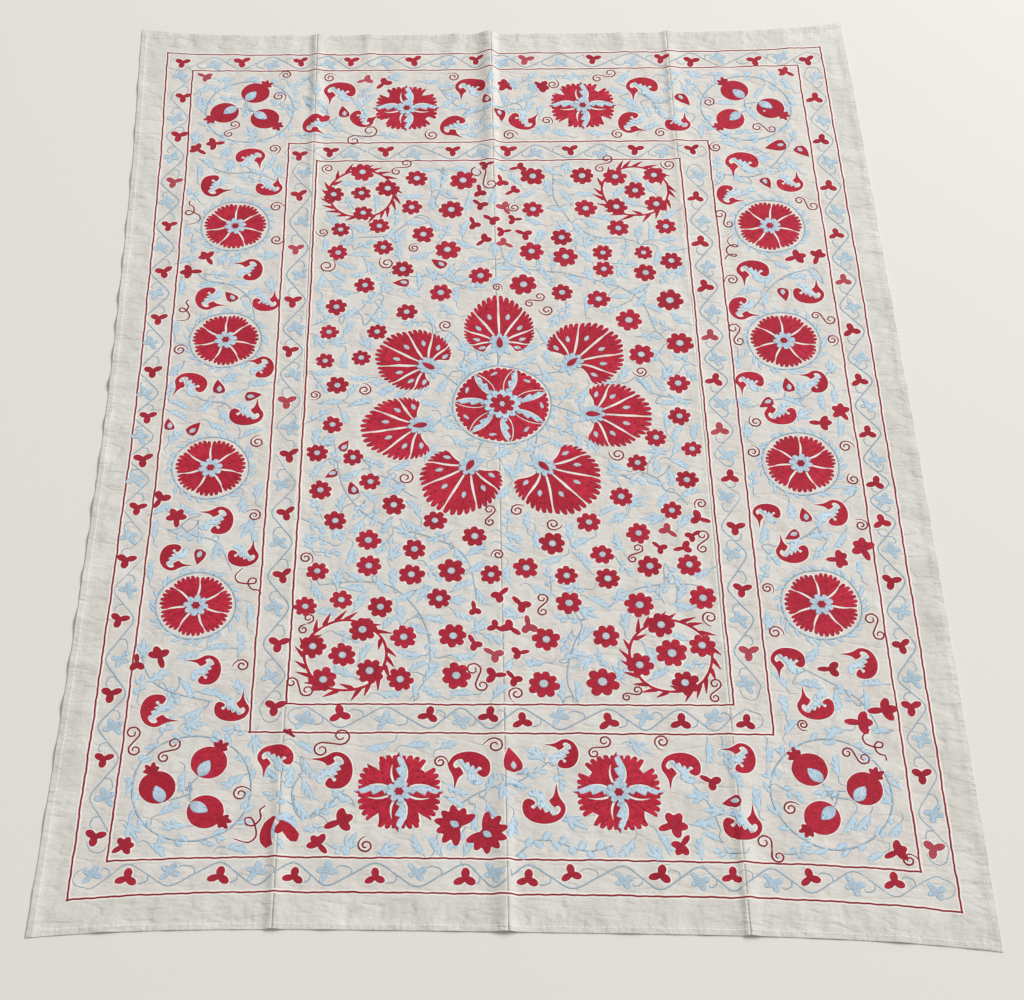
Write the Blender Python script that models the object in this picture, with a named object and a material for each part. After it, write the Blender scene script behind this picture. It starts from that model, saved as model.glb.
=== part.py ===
# Suzani: a large embroidered cloth of four handloom strips, sewn side by side and laid flat.
# The frame: +X across the strips, +Y from the near hem to the far hem, +Z up.
# The origin is on the surface that the cloth lies on, under the middle of the cloth.
# All sizes are in metres.
from collections import namedtuple
import math

import bmesh
import bpy

# The cloth's size and outline
HALF_WIDTH = 0.760
HALF_LENGTH = 1.0595
FAN = 0.0234            # how much longer the cloth is for each metre to the right
FAR_DIP = 0.026         # the far hem is drawn in this much between its corners
FAR_POWER = 6
NEAR_DIP = 0.0215
NEAR_POWER = 4
DIP_REACH_POWER = 5     # how fast the dips fade towards the middle of the cloth
LEFT_DIP = 0.022
LEFT_POWER = 1.5
FAR_LEFT_FLARE = 0.005  # the far left corner stands out this much
FLARE_FROM = 0.60
RIGHT_SWELL = 0.005

# The cloth's make
CLOTH_THICKNESS = 0.0015    # ground cloth with the stitching on it
HEM_WIDTH = 0.011
HEM_RISE = 0.0008           # the hem is turned in once more
SEAM_GAP = 0.0003           # between the edges of two strips

# Where the folds along the seams begin to rise, as distances from the middle
FAR_RISE_FROM = 0.40
FAR_RISE_TO = 1.00
NEAR_RISE_FROM = 0.55
NEAR_RISE_TO = 1.00

Seam = namedtuple(
    "Seam", "middle_x slant left_width right_width far_height middle_height near_height")
SEAMS = (
    Seam(-0.3830, -0.002, 0.018, 0.024, 0.0055, 0.0010, 0.0045),
    Seam(-0.0120, 0.0005, 0.036, 0.018, 0.0115, 0.0015, 0.0055),
    Seam(0.3685, 0.0025, 0.014, 0.032, 0.0045, 0.0010, 0.0048),
)

# Soft ripples that start at a hem and fade inwards: place along the hem, half width, height
Ripple = namedtuple("Ripple", "at half_width height")
FAR_REACH = 0.17
FAR_RIPPLES = (
    Ripple(-0.560, 0.030, 0.0015),
    Ripple(-0.440, 0.016, 0.0028),
    Ripple(-0.275, 0.020, 0.0036),
    Ripple(-0.085, 0.024, 0.0036),
    Ripple(0.095, 0.020, 0.0016),
    Ripple(0.275, 0.022, 0.0036),
    Ripple(0.630, 0.026, 0.0020),
)
NEAR_REACH = 0.07
NEAR_RIPPLES = (
    Ripple(-0.640, 0.035, 0.0015),
    Ripple(-0.300, 0.030, 0.0018),
    Ripple(0.180, 0.035, 0.0015),
    Ripple(0.600, 0.035, 0.0018),
)
SIDE_REACH = 0.105
LEFT_RIPPLES = (
    Ripple(0.880, 0.036, 0.0016),
    Ripple(0.740, 0.036, 0.0020),
    Ripple(0.600, 0.040, 0.0022),
    Ripple(0.470, 0.036, 0.0024),
    Ripple(0.370, 0.030, 0.0022),
    Ripple(0.285, 0.028, 0.0036),
    Ripple(0.210, 0.030, 0.0030),
    Ripple(0.130, 0.028, 0.0020),
    Ripple(0.060, 0.028, 0.0036),
    Ripple(-0.035, 0.030, 0.0032),
    Ripple(-0.130, 0.034, 0.0022),
    Ripple(-0.225, 0.030, 0.0036),
    Ripple(-0.300, 0.026, 0.0024),
    Ripple(-0.375, 0.030, 0.0026),
    Ripple(-0.470, 0.034, 0.0026),
    Ripple(-0.560, 0.028, 0.0028),
    Ripple(-0.640, 0.030, 0.0028),
    Ripple(-0.730, 0.034, 0.0024),
    Ripple(-0.850, 0.036, 0.0018),
)
RIGHT_RIPPLES = (
    Ripple(0.860, 0.036, 0.0015),
    Ripple(0.650, 0.036, 0.0016),
    Ripple(0.530, 0.032, 0.0026),
    Ripple(0.400, 0.034, 0.0020),
    Ripple(0.260, 0.030, 0.0026),
    Ripple(0.165, 0.026, 0.0018),
    Ripple(0.050, 0.030, 0.0026),
    Ripple(-0.020, 0.024, 0.0020),
    Ripple(-0.110, 0.032, 0.0022),
    Ripple(-0.235, 0.032, 0.0032),
    Ripple(-0.340, 0.034, 0.0022),
    Ripple(-0.450, 0.034, 0.0026),
    Ripple(-0.560, 0.032, 0.0022),
    Ripple(-0.700, 0.036, 0.0020),
    Ripple(-0.850, 0.036, 0.0016),
)

# The grid of each strip
ROW_STEP = 0.064        # between rows in the middle of the cloth
FAR_ROW_STEP = 0.040    # between rows where the far ripples are
HEM_STEP = 0.0015       # the hem's step down to the single cloth
SIDE_CUTS = 2           # extra rows between two rows beside the long hems
MIDDLE_STEP = 0.050     # the widest column
SEAM_COLUMNS = (0.0, 0.007, 0.014, 0.022, 0.034)    # columns beside a seam
SIDE_COLUMNS = (0.030, 0.060, 0.095)                # columns beside a long hem

LINEN = (0.70, 0.68, 0.62, 1.0)
LINEN_ROUGHNESS = 0.92


def bell(q):
    # 1 at q = 0, smoothly down to 0 at q = -1 and 1
    return math.cos(0.5 * math.pi * q) ** 2 if abs(q) < 1 else 0.0


def rise(value, start, end):
    # 0 before start, 1 after end, smooth between them
    q = min(1.0, max(0.0, (value - start) / (end - start)))
    return q * q * (3 - 2 * q)


def seam_x(seam, v):
    return seam.middle_x + seam.slant * v / HALF_LENGTH


def seam_height(seam, u, v):
    height = seam.middle_height
    height += (seam.far_height - seam.middle_height) * rise(v, FAR_RISE_FROM, FAR_RISE_TO)
    height += (seam.near_height - seam.middle_height) * rise(-v, NEAR_RISE_FROM, NEAR_RISE_TO)
    off = u - seam_x(seam, v)
    return height * bell(off / (seam.left_width if off < 0 else seam.right_width))


def ripple_height(ripples, along, inwards, reach):
    fade = 1 - rise(inwards, 0, reach)
    return sum(r.height * bell((along - r.at) / r.half_width) for r in ripples) * fade


def fold_height(u, v):
    # How far the cloth's underside stands off the surface
    height = sum(seam_height(s, u, v) for s in SEAMS)
    height += ripple_height(FAR_RIPPLES, u, HALF_LENGTH - v, FAR_REACH)
    height += ripple_height(NEAR_RIPPLES, u, HALF_LENGTH + v, NEAR_REACH)
    height += ripple_height(LEFT_RIPPLES, v, HALF_WIDTH + u, SIDE_REACH)
    height += ripple_height(RIGHT_RIPPLES, v, HALF_WIDTH - u, SIDE_REACH)
    return height


def lay(u, v):
    # Where a point of the flat rectangle lies once its sides are drawn in and fanned out
    across = abs(u) / HALF_WIDTH
    along = abs(v) / HALF_LENGTH
    if u < 0:
        drawn_in = LEFT_DIP * (1 - along ** LEFT_POWER)
        drawn_in -= FAR_LEFT_FLARE * rise(v, FLARE_FROM, HALF_LENGTH)
        x = u + drawn_in * across ** 2
    else:
        x = u + RIGHT_SWELL * (1 - along ** 2) * across ** 2
    dip, power = (FAR_DIP, FAR_POWER) if v > 0 else (NEAR_DIP, NEAR_POWER)
    y = v - math.copysign(dip * (1 - across ** power) * along ** DIP_REACH_POWER, v)
    return x, y * (1 + FAN * x)


def hem_rise(u, v):
    # The turned-in hem's extra thickness
    inwards = min(HALF_WIDTH - abs(u), HALF_LENGTH - abs(v))
    return HEM_RISE if inwards < HEM_WIDTH + 0.5 * HEM_STEP else 0.0


def spread(start, end, step):
    # Evenly spaced values between start and end, no further apart than step
    count = max(1, math.ceil((end - start) / step - 1e-6))
    return [start + (end - start) * k / count for k in range(count + 1)]


def hem_steps(edge, inwards):
    # The edge of the cloth, the hem's inner edge, and the single cloth beside it
    return [edge, edge + inwards * HEM_WIDTH, edge + inwards * (HEM_WIDTH + HEM_STEP)]


def strip_rows():
    rows = hem_steps(-HALF_LENGTH, 1) + hem_steps(HALF_LENGTH, -1)
    inner_near = -HALF_LENGTH + HEM_WIDTH + HEM_STEP
    inner_far = HALF_LENGTH - HEM_WIDTH - HEM_STEP
    rows += spread(inner_near, inner_far - FAR_REACH, ROW_STEP)
    rows += spread(inner_far - FAR_REACH, inner_far, FAR_ROW_STEP)
    return sorted(set(round(v, 6) for v in rows))


def strip_columns(left_seam, right_seam):
    # Columns across a strip, close together beside its seams and its hem
    if left_seam is None:
        left = hem_steps(-HALF_WIDTH, 1) + [-HALF_WIDTH + c for c in SIDE_COLUMNS]
    else:
        left = [left_seam.middle_x + SEAM_GAP / 2 + c for c in SEAM_COLUMNS]
    if right_seam is None:
        right = hem_steps(HALF_WIDTH, -1) + [HALF_WIDTH - c for c in SIDE_COLUMNS]
    else:
        right = [right_seam.middle_x - SEAM_GAP / 2 - c for c in SEAM_COLUMNS]
    columns = left + right + spread(max(left), min(right), MIDDLE_STEP)
    return sorted(set(round(u, 6) for u in columns))


def slanted(u, v, left_seam, right_seam):
    # Moves the columns beside a slanting seam with it
    if left_seam is not None and u - left_seam.middle_x <= max(SEAM_COLUMNS) + SEAM_GAP:
        return u + seam_x(left_seam, v) - left_seam.middle_x
    if right_seam is not None and right_seam.middle_x - u <= max(SEAM_COLUMNS) + SEAM_GAP:
        return u + seam_x(right_seam, v) - right_seam.middle_x
    return u


def beside_long_hem(edge):
    # True for an edge that runs along the cloth where the side ripples are
    (u0, v0), (u1, v1) = (vert.co[:2] for vert in edge.verts)
    reach = HALF_WIDTH - max(SIDE_COLUMNS) - HEM_STEP
    return abs(u0 - u1) < HEM_STEP / 2 and abs(v0 - v1) > HEM_WIDTH and abs(u0) > reach


def strip_mesh(name, left_seam, right_seam):
    columns = strip_columns(left_seam, right_seam)
    rows = strip_rows()
    bm = bmesh.new()
    bmesh.ops.create_grid(
        bm, x_segments=len(columns) - 1, y_segments=len(rows) - 1, size=0.5)
    for vert in bm.verts:
        column = round((vert.co.x + 0.5) * (len(columns) - 1))
        row = round((vert.co.y + 0.5) * (len(rows) - 1))
        vert.co = (columns[column], rows[row], 0)
    long_edges = [e for e in bm.edges if beside_long_hem(e)]
    if long_edges:
        bmesh.ops.subdivide_edges(bm, edges=long_edges, cuts=SIDE_CUTS, use_grid_fill=True)
    under = list(bm.verts)
    raised = bmesh.ops.extrude_face_region(bm, geom=list(bm.faces), use_keep_orig=True)
    over = [g for g in raised["geom"] if isinstance(g, bmesh.types.BMVert)]
    for verts, top in ((under, False), (over, True)):
        for vert in verts:
            u, v = vert.co.x, vert.co.y
            u = slanted(u, v, left_seam, right_seam)
            height = fold_height(u, v)
            if top:
                height += CLOTH_THICKNESS + hem_rise(u, v)
            vert.co = (*lay(u, v), height)
    bmesh.ops.triangulate(bm, faces=list(bm.faces))
    bmesh.ops.recalc_face_normals(bm, faces=list(bm.faces))
    mesh = bpy.data.meshes.new(name)
    bm.to_mesh(mesh)
    bm.free()
    return mesh


def linen_material():
    material = bpy.data.materials.new("natural_linen")
    material.use_nodes = True
    shader = material.node_tree.nodes["Principled BSDF"]
    shader.inputs["Base Color"].default_value = LINEN
    shader.inputs["Roughness"].default_value = LINEN_ROUGHNESS
    shader.inputs["Metallic"].default_value = 0.0
    return material


def add_strip(name, left_seam, right_seam, material):
    mesh = strip_mesh(name, left_seam, right_seam)
    mesh.materials.append(material)
    strip = bpy.data.objects.new(name, mesh)
    bpy.context.scene.collection.objects.link(strip)


def main():
    for old in list(bpy.data.objects):
        bpy.data.objects.remove(old)
    linen = linen_material()
    left, middle, right = SEAMS
    add_strip("strip_left", None, left, linen)
    add_strip("strip_middle_left", left, middle, linen)
    add_strip("strip_middle_right", middle, right, linen)
    add_strip("strip_right", right, None, linen)


main()
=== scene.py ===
import math
import random

import bmesh
import bpy
import numpy as np
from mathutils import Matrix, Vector


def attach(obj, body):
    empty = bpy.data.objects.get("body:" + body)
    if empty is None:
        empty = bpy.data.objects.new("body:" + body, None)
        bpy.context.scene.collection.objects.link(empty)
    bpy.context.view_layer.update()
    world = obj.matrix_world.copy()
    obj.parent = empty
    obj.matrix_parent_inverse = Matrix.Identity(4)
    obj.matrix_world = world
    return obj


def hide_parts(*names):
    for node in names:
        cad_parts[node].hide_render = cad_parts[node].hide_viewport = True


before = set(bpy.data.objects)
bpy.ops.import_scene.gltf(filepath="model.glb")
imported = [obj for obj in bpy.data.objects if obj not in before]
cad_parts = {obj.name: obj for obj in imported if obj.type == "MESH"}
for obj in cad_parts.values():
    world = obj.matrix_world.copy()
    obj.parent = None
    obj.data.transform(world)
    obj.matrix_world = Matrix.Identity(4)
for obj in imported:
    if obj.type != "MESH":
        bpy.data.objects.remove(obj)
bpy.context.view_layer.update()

cm = 0.01       # motifs are given in centimetres from the middle of the cloth
dice = random.Random(11)

# ---- the cloth as it lies, with the same outline and folds as its solids

cloth = dict(halfWidth=0.760, halfLength=1.0595, fan=0.0234,
             farDip=0.026, farPower=6, nearDip=0.0215, nearPower=4, dipReach=5,
             leftDip=0.022, leftPower=1.5, farLeftFlare=0.005, flareFrom=0.60, rightSwell=0.005,
             thick=0.0009, hemWide=0.011, hemRise=0.0004, seamGap=0.00014,
             farFrom=0.40, farTo=1.00, nearFrom=0.55, nearTo=1.00)

seams = [   # place, slant, left and right half width, height far, in the middle and near
    (-0.3830, -0.002, 0.018, 0.024, 0.0055, 0.0010, 0.0045),
    (-0.0120, 0.0005, 0.036, 0.018, 0.0115, 0.0015, 0.0055),
    (0.3685, 0.0025, 0.014, 0.032, 0.0045, 0.0010, 0.0048)]

ripples = dict(     # how far they run in, and then place along the hem, half width and height
    far=(0.17, [(-0.560, 0.030, 0.0015), (-0.440, 0.016, 0.0028), (-0.275, 0.020, 0.0036),
                (-0.085, 0.024, 0.0036), (0.095, 0.020, 0.0016), (0.275, 0.022, 0.0036),
                (0.630, 0.026, 0.0020)]),
    near=(0.07, [(-0.640, 0.035, 0.0015), (-0.300, 0.030, 0.0018), (0.180, 0.035, 0.0015),
                 (0.600, 0.035, 0.0018)]),
    left=(0.105, [(0.880, 0.036, 0.0016), (0.740, 0.036, 0.0020), (0.600, 0.040, 0.0022),
                  (0.470, 0.036, 0.0024), (0.370, 0.030, 0.0022), (0.285, 0.028, 0.0036),
                  (0.210, 0.030, 0.0030), (0.130, 0.028, 0.0020), (0.060, 0.028, 0.0036),
                  (-0.035, 0.030, 0.0032), (-0.130, 0.034, 0.0022), (-0.225, 0.030, 0.0036),
                  (-0.300, 0.026, 0.0024), (-0.375, 0.030, 0.0026), (-0.470, 0.034, 0.0026),
                  (-0.560, 0.028, 0.0028), (-0.640, 0.030, 0.0028), (-0.730, 0.034, 0.0024),
                  (-0.850, 0.036, 0.0018)]),
    right=(0.105, [(0.860, 0.036, 0.0015), (0.650, 0.036, 0.0016), (0.530, 0.032, 0.0026),
                   (0.400, 0.034, 0.0020), (0.260, 0.030, 0.0026), (0.165, 0.026, 0.0018),
                   (0.050, 0.030, 0.0026), (-0.020, 0.024, 0.0020), (-0.110, 0.032, 0.0022),
                   (-0.235, 0.032, 0.0032), (-0.340, 0.034, 0.0022), (-0.450, 0.034, 0.0026),
                   (-0.560, 0.032, 0.0022), (-0.700, 0.036, 0.0020), (-0.850, 0.036, 0.0016)]))

dents = dict(count=26, tall=0.00014, shortest=0.030, longest=0.085)     # the soft unevenness


def bell(q):
    return np.where(np.abs(q) < 1, np.cos(0.5 * np.pi * np.clip(q, -1, 1)) ** 2, 0.0)


def rise(value, start, end):
    q = np.clip((value - start) / (end - start), 0, 1)
    return q * q * (3 - 2 * q)


def seamAt(seam, v):
    return seam[0] + seam[1] * v / cloth["halfLength"]


def foldHeight(u, v):
    height = np.zeros_like(u)
    far = rise(v, cloth["farFrom"], cloth["farTo"])
    near = rise(-v, cloth["nearFrom"], cloth["nearTo"])
    for seam in seams:
        off = u - seamAt(seam, v)
        tall = seam[5] + (seam[4] - seam[5]) * far + (seam[6] - seam[5]) * near
        height += tall * bell(off / np.where(off < 0, seam[2], seam[3]))
    sides = dict(far=(u, cloth["halfLength"] - v), near=(u, cloth["halfLength"] + v),
                 left=(v, cloth["halfWidth"] + u), right=(v, cloth["halfWidth"] - u))
    for side, (along, inwards) in sides.items():
        reach, rows = ripples[side]
        fade = 1 - rise(inwards, 0, reach)
        for place, wide, tall in rows:
            height += tall * bell((along - place) / wide) * fade
    return height


dentWaves = []
for k in range(dents["count"]):
    angle, length = dice.uniform(0, math.pi), dice.uniform(dents["shortest"], dents["longest"])
    dentWaves.append((math.cos(angle) * 2 * math.pi / length,
                      math.sin(angle) * 2 * math.pi / length,
                      dice.uniform(0, 2 * math.pi)))


def dentHeight(u, v):
    total = sum(np.sin(a * u + b * v + c) for a, b, c in dentWaves)
    return np.maximum(0, total * dents["tall"] + 0.0003)


def clothTop(u, v):
    inwards = np.minimum(cloth["halfWidth"] - np.abs(u), cloth["halfLength"] - np.abs(v))
    hem = cloth["hemRise"] * (1 - rise(inwards, cloth["hemWide"] - 0.0008,
                                       cloth["hemWide"] + 0.0008))
    return foldHeight(u, v) + dentHeight(u, v) + cloth["thick"] + hem


def sideShift(u, v):
    across, along = np.abs(u) / cloth["halfWidth"], np.minimum(1, np.abs(v) / cloth["halfLength"])
    left = cloth["leftDip"] * (1 - along ** cloth["leftPower"])
    left -= cloth["farLeftFlare"] * rise(v, cloth["flareFrom"], cloth["halfLength"])
    right = cloth["rightSwell"] * (1 - along ** 2)
    return np.where(u < 0, left, right) * across ** 2


def endShift(u, v):
    across, along = np.abs(u) / cloth["halfWidth"], np.abs(v) / cloth["halfLength"]
    dip = np.where(v > 0, cloth["farDip"] * (1 - across ** cloth["farPower"]),
                   cloth["nearDip"] * (1 - across ** cloth["nearPower"]))
    return -np.sign(v) * dip * along ** cloth["dipReach"]


def lay(u, v):      # where a point of the flat cloth lies, before the fan
    return u + sideShift(u, v), v + endShift(u, v)


def layBack(x, w):      # which point of the flat cloth lies there
    u, v = x, w
    for _ in range(4):
        u, v = x - sideShift(u, v), w - endShift(u, v)
    return u, v


def fanned(x, w):
    return w * (1 + cloth["fan"] * x)


def meshCoords(mesh):
    co = np.empty(len(mesh.vertices) * 3)
    mesh.vertices.foreach_get("co", co)
    return co.reshape(-1, 3)


def setCoords(mesh, co):
    mesh.vertices.foreach_set("co", co.ravel())
    mesh.update()


def addPiece(name, mesh, *materials):
    piece = bpy.data.objects.new(name, mesh)
    bpy.context.scene.collection.objects.link(piece)
    for material in materials:
        mesh.materials.append(material)
    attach(piece, "root")
    return piece


# ---- materials

def nodesOf(name):
    material = bpy.data.materials.new(name)
    material.use_nodes = True
    tree = material.node_tree
    return material, tree.nodes, tree.links, tree.nodes["Principled BSDF"]


def mathNode(nodes, links, kind, a, b=None):
    node = nodes.new("ShaderNodeMath")
    node.operation = kind
    for socket, value in zip(node.inputs, (a, b)):
        if value is None:
            continue
        if isinstance(value, (int, float)):
            socket.default_value = value
        else:
            links.new(value, socket)
    return node.outputs[0]


def mixColour(nodes, links, amount, a, b, blend="MIX"):
    node = nodes.new("ShaderNodeMix")
    node.data_type = "RGBA"
    node.blend_type = blend
    for socket, value in ((node.inputs[0], amount), (node.inputs[6], a), (node.inputs[7], b)):
        if isinstance(value, (int, float)):
            socket.default_value = value
        elif isinstance(value, tuple):
            socket.default_value = (*value, 1)
        else:
            links.new(value, socket)
    return node.outputs[2]


def noiseAt(nodes, links, vector, scale, detail=2.0, rough=0.5, stretch=(1, 1, 1), turned=0.0):
    mapping = nodes.new("ShaderNodeMapping")
    mapping.inputs["Scale"].default_value = stretch
    mapping.inputs["Rotation"].default_value = (0, 0, turned)
    links.new(vector, mapping.inputs["Vector"])
    node = nodes.new("ShaderNodeTexNoise")
    node.inputs["Scale"].default_value = scale
    node.inputs["Detail"].default_value = detail
    node.inputs["Roughness"].default_value = rough
    links.new(mapping.outputs[0], node.inputs["Vector"])
    return node.outputs["Fac"]


def rangeOf(nodes, links, value, low, high, toLow=0.0, toHigh=1.0):
    node = nodes.new("ShaderNodeMapRange")
    node.interpolation_type = "SMOOTHSTEP"
    for socket, number in zip(node.inputs[1:5], (low, high, toLow, toHigh)):
        socket.default_value = number
    links.new(value, node.inputs[0])
    return node.outputs[0]


def bumpOf(nodes, links, height, strength, distance, after=None):
    node = nodes.new("ShaderNodeBump")
    node.inputs["Strength"].default_value = strength
    node.inputs["Distance"].default_value = distance
    links.new(height, node.inputs["Height"])
    if after is not None:
        links.new(after, node.inputs["Normal"])
    return node.outputs[0]


# shade is the tone of the darker slubs and also the painted shade of pressed creases
linen = dict(light=(0.782, 0.765, 0.722), plain=(0.680, 0.665, 0.620), shade=(0.555, 0.545, 0.498),
             warm=(0.722, 0.690, 0.645), worked=(0.700, 0.990), roughness=0.93, sheen=0.12,
             puckered=0.021, margin=0.085, marginCrease=0.0012)


def linenMaterial():
    material, nodes, links, shader = nodesOf("handloomLinen")
    uv = nodes.new("ShaderNodeUVMap")
    uv.uv_map = "flat"
    flat = uv.outputs[0]
    split = nodes.new("ShaderNodeSeparateXYZ")
    links.new(flat, split.inputs[0])
    across, along = (mathNode(nodes, links, "ABSOLUTE", s) for s in split.outputs[:2])
    reach = mathNode(nodes, links, "MAXIMUM",
                     mathNode(nodes, links, "DIVIDE", across, linen["worked"][0]),
                     mathNode(nodes, links, "DIVIDE", along, linen["worked"][1]))
    margin = rangeOf(nodes, links, reach, 0.985, 1.03)
    blotch = noiseAt(nodes, links, flat, 15, 5, 0.6, (1.0, 0.5, 1), 0.7)
    streak = noiseAt(nodes, links, flat, 55, 4, 0.62, (1.0, 0.33, 1), -0.6)
    weft = noiseAt(nodes, links, flat, 1, 3, 0.6, (60, 800, 1))
    warp = noiseAt(nodes, links, flat, 1, 3, 0.6, (800, 60, 1))
    slubs = mathNode(nodes, links, "ADD", weft, warp)
    base = mixColour(nodes, links, margin, linen["warm"], linen["plain"])
    tone = mixColour(nodes, links, rangeOf(nodes, links, blotch, 0.40, 0.66, 0, 0.8),
                     base, linen["light"])
    # painted shade: diagonal streaks are darkened toward the shade tone to stand in for the shading
    # of pressed creases
    tone = mixColour(nodes, links, rangeOf(nodes, links, streak, 0.50, 0.70, 0, 0.45),
                     tone, linen["shade"])
    tone = mixColour(nodes, links, rangeOf(nodes, links, slubs, 1.05, 1.35, 0, 0.5),
                     tone, linen["light"])
    tone = mixColour(nodes, links, rangeOf(nodes, links, slubs, 0.68, 0.92, 0.5, 0),
                     tone, linen["shade"])
    links.new(tone, shader.inputs["Base Color"])
    shader.inputs["Roughness"].default_value = linen["roughness"]
    shader.inputs["Sheen Weight"].default_value = linen["sheen"]
    shader.inputs["Specular IOR Level"].default_value = 0.2
    crinkle = noiseAt(nodes, links, flat, 34, 4, 0.58, (0.6, 1.0, 1), 0.5)
    crease = noiseAt(nodes, links, flat, 19, 3, 0.5, (0.45, 1.0, 1), -0.4)
    folded = mathNode(nodes, links, "ABSOLUTE", mathNode(nodes, links, "SUBTRACT", crease, 0.5))
    normal = bumpOf(nodes, links, crinkle, 1.0, 0.0040)
    for far, half, pull, long in ((across, cloth["halfWidth"], (25, 130, 1), (5, 15, 1)),
                                  (along, cloth["halfLength"], (130, 25, 1), (13, 5, 1))):
        # the hem is puckered, and soft creases run in from it
        crossed = noiseAt(nodes, links, flat, 1, 3, 0.55, long, 0.12)
        ridge = rangeOf(nodes, links, mathNode(nodes, links, "ABSOLUTE", mathNode(
            nodes, links, "SUBTRACT", crossed, 0.5)), 0, 0.15)
        border = rangeOf(nodes, links, far, half - linen["margin"], half - 0.3 * linen["margin"])
        normal = bumpOf(nodes, links, mathNode(nodes, links, "MULTIPLY", ridge, border), 1.0,
                        linen["marginCrease"], normal)
        pucker = noiseAt(nodes, links, flat, 1, 2, 0.5, pull)
        close = rangeOf(nodes, links, far, half - linen["puckered"], half - 0.4 * linen["puckered"])
        normal = bumpOf(nodes, links, mathNode(nodes, links, "MULTIPLY", pucker, close), 1.0,
                        0.0016, normal)
    normal = bumpOf(nodes, links, rangeOf(nodes, links, folded, 0, 0.06), 1.0, 0.0007, normal)
    normal = bumpOf(nodes, links, slubs, 1.0, 0.00035, normal)
    links.new(normal, shader.inputs["Normal"])
    return material


# rim is the dark tone of the holding stitches and also the painted shade at the edges and sides of
# the threads
threads = dict(
    crimson=dict(tones=((0.41, 0.0090, 0.029), (0.60, 0.021, 0.056)), faded=(0.66, 0.13, 0.17),
                 rim=(0.25, 0.008, 0.022)),
    sky=dict(tones=((0.54, 0.705, 0.83), (0.64, 0.785, 0.89)), faded=(0.70, 0.77, 0.82),
             rim=(0.20, 0.36, 0.53)),
    haze=dict(tones=((0.36, 0.52, 0.64), (0.47, 0.62, 0.73)), faded=(0.6, 0.7, 0.8),
              rim=(0.18, 0.32, 0.46)),
    mist=dict(tones=((0.48, 0.635, 0.75), (0.60, 0.725, 0.81)), faded=(0.7, 0.8, 0.8),
              rim=(0.34, 0.50, 0.63)),
    dusk=dict(tones=((0.25, 0.41, 0.56), (0.33, 0.49, 0.63)), faded=(0.6, 0.7, 0.8),
              rim=(0.25, 0.41, 0.56)),
    maroon=dict(tones=((0.24, 0.009, 0.022), (0.32, 0.013, 0.032)), faded=(0.45, 0.07, 0.09),
                rim=(0.20, 0.008, 0.018)),
    pale=dict(tones=((0.86, 0.835, 0.78), (0.92, 0.895, 0.84)), faded=(0.9, 0.9, 0.9),
              rim=(0.82, 0.795, 0.74)))


def threadMaterial(name, rowed):
    # rows of laid thread with small dark stitches holding them down
    colours = threads[name]
    material, nodes, links, shader = nodesOf(name + ("Rows" if rowed else "Cord"))
    if rowed:
        uv = nodes.new("ShaderNodeUVMap")
        uv.uv_map = "rows"
        rows = uv.outputs[0]
        stitch = nodes.new("ShaderNodeAttribute")
        stitch.attribute_name = "stitch"
        parts = nodes.new("ShaderNodeSeparateColor")
        links.new(stitch.outputs["Color"], parts.inputs[0])
        rim, shade, fade = parts.outputs
        tone = mixColour(nodes, links, shade, *colours["tones"])
        patches = noiseAt(nodes, links, rows, 1, 3, 0.6, (160, 60, 1))
        tone = mixColour(nodes, links, rangeOf(nodes, links, patches, 0.42, 0.60, 0, 0.7),
                         tone, colours["tones"][0])
        tone = mixColour(nodes, links, fade, tone, colours["faded"])
        wave = nodes.new("ShaderNodeTexWave")
        wave.inputs["Scale"].default_value = 190
        wave.inputs["Distortion"].default_value = 1.2
        wave.inputs["Detail"].default_value = 1
        links.new(rows, wave.inputs["Vector"])
        ticks = noiseAt(nodes, links, rows, 1, 1, 0.5, (430, 130, 1))
        dark = rangeOf(nodes, links, ticks, 0.57, 0.66, 0, 0.85)
        tone = mixColour(nodes, links, dark, tone, colours["rim"])
        # painted shade: the shoulder of each padded patch is darkened toward the rim colour for the
        # shading of its raised edge, which reads as a dark outline
        tone = mixColour(nodes, links, mathNode(nodes, links, "MULTIPLY", rim, 0.9),
                         tone, colours["rim"])
        normal = bumpOf(nodes, links, wave.outputs["Fac"], 0.6, 0.0004)
        normal = bumpOf(nodes, links, ticks, 0.6, -0.0010, normal)
    else:
        place = nodes.new("ShaderNodeTexCoord").outputs["Object"]
        ticks = noiseAt(nodes, links, place, 300, 2, 0.6)
        tone = mixColour(nodes, links, rangeOf(nodes, links, ticks, 0.40, 0.62), *colours["tones"])
        # painted shade: cord sides tilted away from straight up are darkened toward the rim colour
        tiltForSideShade = nodes.new("ShaderNodeSeparateXYZ")
        links.new(nodes.new("ShaderNodeNewGeometry").outputs["Normal"], tiltForSideShade.inputs[0])
        tone = mixColour(nodes, links, rangeOf(nodes, links, tiltForSideShade.outputs[2], 0.45, 0.85, 1, 0),
                         tone, colours["rim"])
        normal = bumpOf(nodes, links, ticks, 0.6, 0.0008)
    links.new(tone, shader.inputs["Base Color"])
    links.new(normal, shader.inputs["Normal"])
    shader.inputs["Roughness"].default_value = 0.75
    shader.inputs["Sheen Weight"].default_value = 0.08
    shader.inputs["Specular IOR Level"].default_value = 0.25
    return material


# ---- the four strips of ground cloth

stripMesh = dict(cell=0.0098, seamReach=0.031,
                 seamColumns=(0, 0.0035, 0.007, 0.0105, 0.0145, 0.019, 0.024, 0.030),
                 hemColumns=(0, 0.0006, 0.0055, 0.0094, 0.0102, 0.0118, 0.0126))


def spread(start, end, step):
    count = max(1, math.ceil((end - start) / step))
    return [start + (end - start) * k / count for k in range(count + 1)]


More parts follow.
